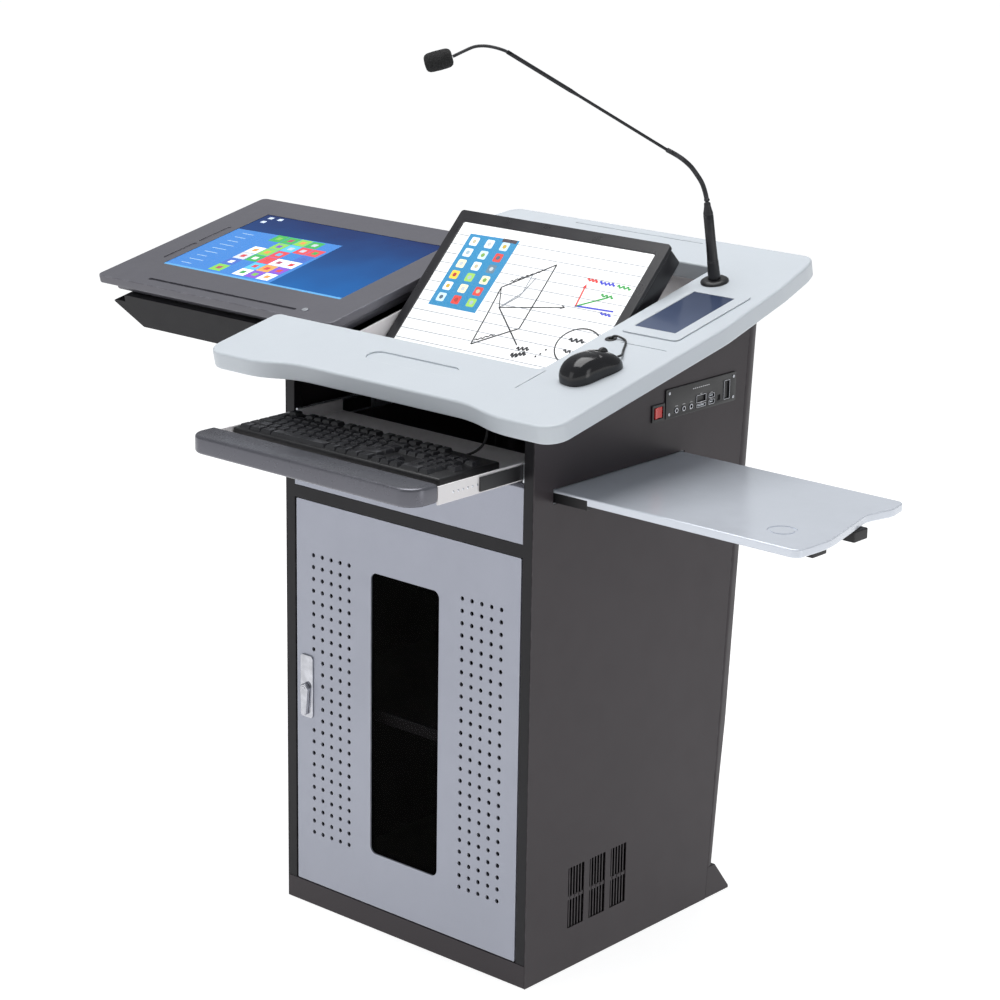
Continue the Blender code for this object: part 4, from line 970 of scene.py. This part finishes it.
def make_displays():
    carried("monitor_bezel", "display_black", 0)
    carried("monitor_housing", "display_black", 0)
    carried("monitor_screen", "display_panel", 0, surface="paper_screen")
    carried("console_screen", "display_panel", 0, surface="blue_screen")
    carried("console_frame", "console_plastic", 0.0006)
    carried("console_support_box", "frame_paint", 0.001)
    carried("console_button", "plain_steel", 0.0004)


# ---- keyboard tray

def key_layout():
    """Left edges, widths and rows of the caps of a full-size keyboard, in key widths."""
    caps = []

    def run(row, start, widths):
        for width in widths:
            caps.append((start, row, width))
            start += width

    run(5, 0, [1])
    run(5, 2, [1] * 4)
    run(5, 6.5, [1] * 4)
    run(5, 11, [1] * 4)
    run(4, 0, [1] * 13 + [2])
    run(3, 0, [1.5] + [1] * 12 + [1.5])
    run(2, 0, [1.75] + [1] * 11 + [2.25])
    run(1, 0, [2.25] + [1] * 10 + [2.75])
    run(0, 0, [1.25] * 3 + [6.25] + [1.25] * 4)
    for row in (5, 4, 3):
        run(row, 15.25, [1] * 3)
    run(1, 16.25, [1])
    run(0, 15.25, [1] * 3)
    run(4, 18.5, [1] * 4)
    run(3, 18.5, [1] * 3)
    run(2, 18.5, [1] * 4)
    run(1, 18.5, [1] * 3)
    run(0, 18.5, [2, 1])
    return caps


def make_keys():
    """Tapered caps with dished tops, over the keyboard's case."""
    rng = random.Random(3)
    x0, x1, y0, y1 = -0.2225, 0.1975, -0.1435, -0.0175
    low, high = 0.8558, 0.862
    unit_x, unit_y = (x1 - x0) / 22.5, (y1 - y0) / 6.35
    shape = bmesh.new()
    for start, row, width in key_layout():
        left, right = x0 + start * unit_x + 0.0007, x0 + (start + width) * unit_x - 0.0007
        lift = 0.35 if row == 5 else 0.0
        near = y0 + (row + lift) * unit_y + 0.0007
        far = near + unit_y - 0.0014
        top = high - 0.0002 * rng.random()
        inset_x, inset_near, inset_far = 0.0022, 0.0024, 0.0014
        base = [(left, near), (right, near), (right, far), (left, far)]
        crown = [(left + inset_x, near + inset_near), (right - inset_x, near + inset_near),
            (right - inset_x, far - inset_far), (left + inset_x, far - inset_far)]
        rim = [(x + (0.0006 if x < (left + right) / 2 else -0.0006), y +
            (0.0006 if y < (near + far) / 2 else -0.0006)) for x, y in crown]
        rings = [[shape.verts.new((x, y, low)) for x, y in base], [shape.verts.new((x, y, top - 0.0006)) for
            x, y in crown], [shape.verts.new((x, y, top)) for x, y in rim]]
        for one, two in zip(rings, rings[1:]):
            skin(shape, one, two)
        middle = shape.verts.new(((left + right) / 2, (near + far) / 2, top - 0.0007))
        for number in range(4):
            shape.faces.new((rings[2][number], rings[2][(number + 1) % 4], middle))
        shape.faces.new(reversed(rings[0]))
    mesh = mesh_of(shape)
    shown("key_caps", shaded(mesh, 50), "black_plastic", "tray", ["keyboard_keys"], "key_plastic")
    case = block_mesh((-0.2315, -0.148, 0.8383), (0.2065, -0.011, 0.8555), None, 0.0032, 4)
    shown("keyboard_shell", shaded(case, 60), "black_plastic", "tray", ["keyboard_case"])


def make_bullnose():
    """Hand rail across the front of the tray."""
    rear, front, half = -0.1815, -0.24, 0.238
    outline = rounded([(-half, rear, 0.0062), (-half, front, 0.032), (half, front, 0.032),
        (half, rear, 0.0062)], radians(5))
    bar = plate_mesh([outline], 0.029, at(0, 0, RAIL_TOP), edge=0.005, resolution=4)
    shown("tray_hand_rail", shaded(bar, 40), "bullnose_plastic", "tray", ["tray_bullnose"])


def make_tray_details():
    carried("tray_pan", "plain_steel", 0.0005, surface="well_paint")
    for node in ("tray_slide_mid_left", "tray_slide_mid_right"):
        carried(node, "plain_steel", 0.0005, surface="black_plastic")
    for side, name in ((-1, "left"), (1, "right")):
        face = side * 0.236
        balls = []
        for number in range(6):
            y = -0.148 + number * 0.0105
            balls.append(turned_mesh([(0, 0.0003), (0.0016, 0.0002), (0.0022, 0), (0, 0)],
                at(face, y, 0.842) @ Matrix.Rotation(side * pi / 2, 4, "Y"), 16))
        shown(f"slide_rivets_{name}", shaded(merged(balls)), "plain_steel", "tray")


# ---- side shelf

def make_shelf():
    """Pull-out shelf with rolled edges, a bowed free end and a ring pressed into its top."""
    front, rear, root = 0.049, 0.367, 0.155
    outline = rounded([(root, front, 0), (0.712, front, 0.014), (0.7155, 0.125, 0.15), (0.679, 0.272, 0.05),
        (0.691, 0.325, 0.04), (0.682, rear, 0.014), (root, rear, 0)], radians(5))
    panel = plate_mesh([outline], 0.013, at(0, 0, SHELF_TOP), edge=0.0022, resolution=3)
    tools = [block_mesh((root - 0.01, 0, 0.78), (0.328, 0.4, 0.806))]
    ring = at(0.636, 0.118, SHELF_TOP)
    tools.append(turned_mesh([(0.017, 0.005), (0.0235, 0.005), (0.0225, -0.0012), (0.018, -0.0012)], ring,
        48, True))
    mesh = cut_away(panel, tools)
    weighted(shown("shelf_board", shaded(mesh, 40), "shelf_paint", "shelf", ["shelf_panel"]))
    carried("shelf_root_plate", "shelf_frame", 0.0006)
    carried("shelf_bar_front", "shelf_frame", 0)
    carried("shelf_bar_rear", "shelf_frame", 0)


# ---- microphone

def make_microphone():
    """Stem with turned rings, a small joint, two ribbed flexible lengths, a smooth rod and a windscreen."""
    base = DESK @ at(MIC_X, MIC_V, 0)
    ring = [(0.0106, 0.0062), (0.018, 0.0062), (0.019, 0.0058), (0.0222, 0.0036), (0.023, 0.0024),
        (0.023, 0.0003), (0.0106, 0.0003)]
    shown("mic_socket", shaded(turned_mesh(ring, base, 48, True)), "black_plastic", "root",
        ["mic_socket_ring"])
    height = MIC_STEM
    stem = [(0, height), (0.005, height), (0.0053, height - 0.0006), (0.0055, height - 0.005),
        (0.0066, height - 0.011), (0.0078, height - 0.016), (0.0081, height - 0.018),
        (0.0076, height - 0.0185), (0.0076, height - 0.0195), (0.0081, height - 0.02), (0.0083, 0.06),
        (0.0088, 0.04), (0.009, 0.038), (0.0084, 0.0375), (0.0084, 0.0365), (0.0092, 0.036), (0.0098, 0.02),
        (0.01, 0.0003), (0, 0.0003)]
    shown("mic_stem_turned", shaded(turned_mesh(stem, base, 40), 50), "mic_metal", "root", ["mic_stem"])
    neck = [(0.2352, 0.4453, 1.2002), (0.2325, 0.4425, 1.215), (0.2285, 0.4388, 1.229),
        (0.2226, 0.4333, 1.2415), (0.215, 0.4258, 1.255), (0.206, 0.4168, 1.266), (0.197, 0.4077, 1.2742),
        (0.1881, 0.3988, 1.2808)]
    upper = [(0.0101, 0.2208, 1.4304), (0.0055, 0.2162, 1.4338), (-0.001, 0.2097, 1.4369),
        (-0.0078, 0.2029, 1.4393), (-0.0145, 0.1962, 1.4408), (-0.0205, 0.1902, 1.441),
        (-0.0262, 0.1845, 1.4402), (-0.0315, 0.1792, 1.438), (-0.04, 0.1707, 1.4325),
        (-0.0518, 0.1589, 1.4243)]
    shown("mic_lower_flex", ribbed(neck, 0.004, 0.0018), "mic_metal", "mic_boom", ["mic_gooseneck"])
    rod = [Vector((0.1878, 0.3985, 1.281)), Vector((0.1118, 0.3225, 1.345)),
        Vector((0.0122, 0.2229, 1.4287))]
    ends = [rod[0], rod[0].lerp(rod[1], 0.05), rod[1], rod[1].lerp(rod[2], 0.96), rod[2]]

    def ferrule(distance):
        return 0.0025 if 0.003 < distance < 0.186 else 0.00335

    collar = DESK @ at(MIC_X, MIC_V, MIC_STEM + 0.0003)
    joint = [(0, 0.0075), (0.0034, 0.0072), (0.0044, 0.006), (0.0047, 0.0044), (0.004, 0.0026),
        (0.002, 0.0015), (0, 0.0013)]
    shown("mic_joint", shaded(turned_mesh(joint, collar, 32), 60), "mic_metal", "mic_boom")

    shown("mic_boom_rod", shaded(swept_mesh(smooth_route(ends, 12), ferrule, 20), 60), "mic_metal",
        "mic_boom", ["mic_rod"])
    shown("mic_upper_flex", ribbed(upper, 0.0026, 0.0014), "mic_metal", "mic_head", ["mic_neck"])
    make_windscreen(Vector(upper[-1]), Vector((-0.0827, 0.128, 1.4122)))


def ribbed(points, radius, pitch):
    """Flexible conduit: a tube whose radius swells once in every pitch."""
    route = smooth_route(points, 40)

    def wave(distance):
        return radius * (0.9 + 0.1 * abs(sin(pi * distance / pitch)))

    return shaded(swept_mesh(route, wave, 16), 80)


def make_windscreen(tip, end):
    """Foam cover: rings whose surface is roughened a little, closed at both ends."""
    rng = random.Random(8)
    length = (end - tip).length
    outline = [(0, length), (0.005, length - 0.0002), (0.0095, length - 0.0008), (0.0128, length - 0.0026),
        (0.0147, length - 0.006), (0.0155, length - 0.011), (0.0158, length * 0.5), (0.0157, 0.014),
        (0.015, 0.0068), (0.0124, 0.0024), (0.008, 0.0008), (0, 0.0006)]
    turn = Vector((0, 0, 1)).rotation_difference(end - tip).to_matrix().to_4x4()
    mesh = turned_mesh(outline, Matrix(), 44)
    shape = bmesh.new()
    shape.from_mesh(mesh)
    bmesh.ops.subdivide_edges(shape, edges=shape.edges[:], cuts=1, use_grid_fill=True)
    for vertex in shape.verts:
        if vertex.co.z > 0.002:
            flat = Vector((vertex.co.x, vertex.co.y, 0))
            if flat.length > 1e-6:
                vertex.co -= flat.normalized() * 0.0004 * rng.random()
    shape.to_mesh(mesh)
    shape.free()
    mesh.transform(Matrix.Translation(tip) @ turn)
    head = shown("mic_windscreen", shaded(mesh, 80), "mic_foam", "mic_head", ["mic_head"])


# ---- mouse

def make_mouse():
    """Domed shell with a waist, a wheel slot, a seam between its two buttons and a seam behind them."""
    place = DESK @ at(0.288, 0.1022, 0.0003) @ Matrix.Rotation(radians(-10), 4, "Z")
    half_width, half_length, height = 0.0303, 0.0523, 0.0348
    rows, columns = 64, 56
    shape = bmesh.new()
    grid = []
    for row in range(rows + 1):
        turn = pi * row / rows
        y = -half_length * cos(turn)
        t = y / half_length
        width = half_width * (1 - abs(t) ** 2.8) ** (1 / 2.8) * (1 - 0.055 * cos(t * pi * 1.1) + 0.02 * t)
        crest = height * (1 - abs(t) ** 2.6) ** (1 / 2.2) * (0.965 - 0.17 * t - 0.1 * t * t + 0.035)
        ring = []
        for column in range(columns + 1):
            across = pi * column / columns
            c, s = cos(across), sin(across)
            x = -width * copysign(abs(c) ** 0.72, c)
            z = crest * abs(s) ** 0.62
            seam = abs(x) < 0.0009 and y > 0.004
            cross = abs(y - 0.004) < 0.0012 and abs(x) < 0.0235
            if seam or cross:
                z -= min(z, 0.0007)
            ring.append(shape.verts.new((x, y, max(z, 0.0))))
        grid.append(ring)
    for one, two in zip(grid, grid[1:]):
        for column in range(columns):
            shape.faces.new((one[column], one[column + 1], two[column + 1], two[column]))
    bmesh.ops.remove_doubles(shape, verts=shape.verts, dist=1e-5)
    rim = [edge for edge in shape.edges if edge.is_boundary]
    bmesh.ops.contextual_create(shape, geom=rim)
    bmesh.ops.recalc_face_normals(shape, faces=shape.faces)
    mesh = mesh_of(shape)
    mesh.transform(place)
    slot = block_mesh((-0.0043, 0.0148, 0.0127), (0.0043, 0.0372, 0.05), place, 0.001)
    mesh = cut_away(mesh, [slot])
    shown("mouse_shell", shaded(mesh, 45), "mouse_shell", "mouse", ["mouse_body"])
    hub = place @ at(-0.0035, 0.026, 0.0235) @ Matrix.Rotation(pi / 2, 4, "Y")
    tyre = [(0, 0.007), (0.0055, 0.007), (0.006, 0.0064), (0.0087, 0.0064), (0.0095, 0.006), (0.01, 0.0048),
        (0.01, 0.0022), (0.0095, 0.001), (0.0087, 0.0006), (0.006, 0.0006), (0.0055, 0), (0, 0)]
    shown("mouse_wheel_tyre", shaded(turned_mesh(tyre, hub, 36)), "black_plastic", "mouse_wheel",
        ["mouse_wheel"])


make_side_panel()
make_door()
make_lock()
carry_cabinet()
make_desktop()
make_touch_panel()
make_connectors()
make_switch()
make_displays()
make_monitor_picture()
make_console_picture()
make_keys()
make_bullnose()
make_tray_details()
make_shelf()
make_microphone()
make_mouse()
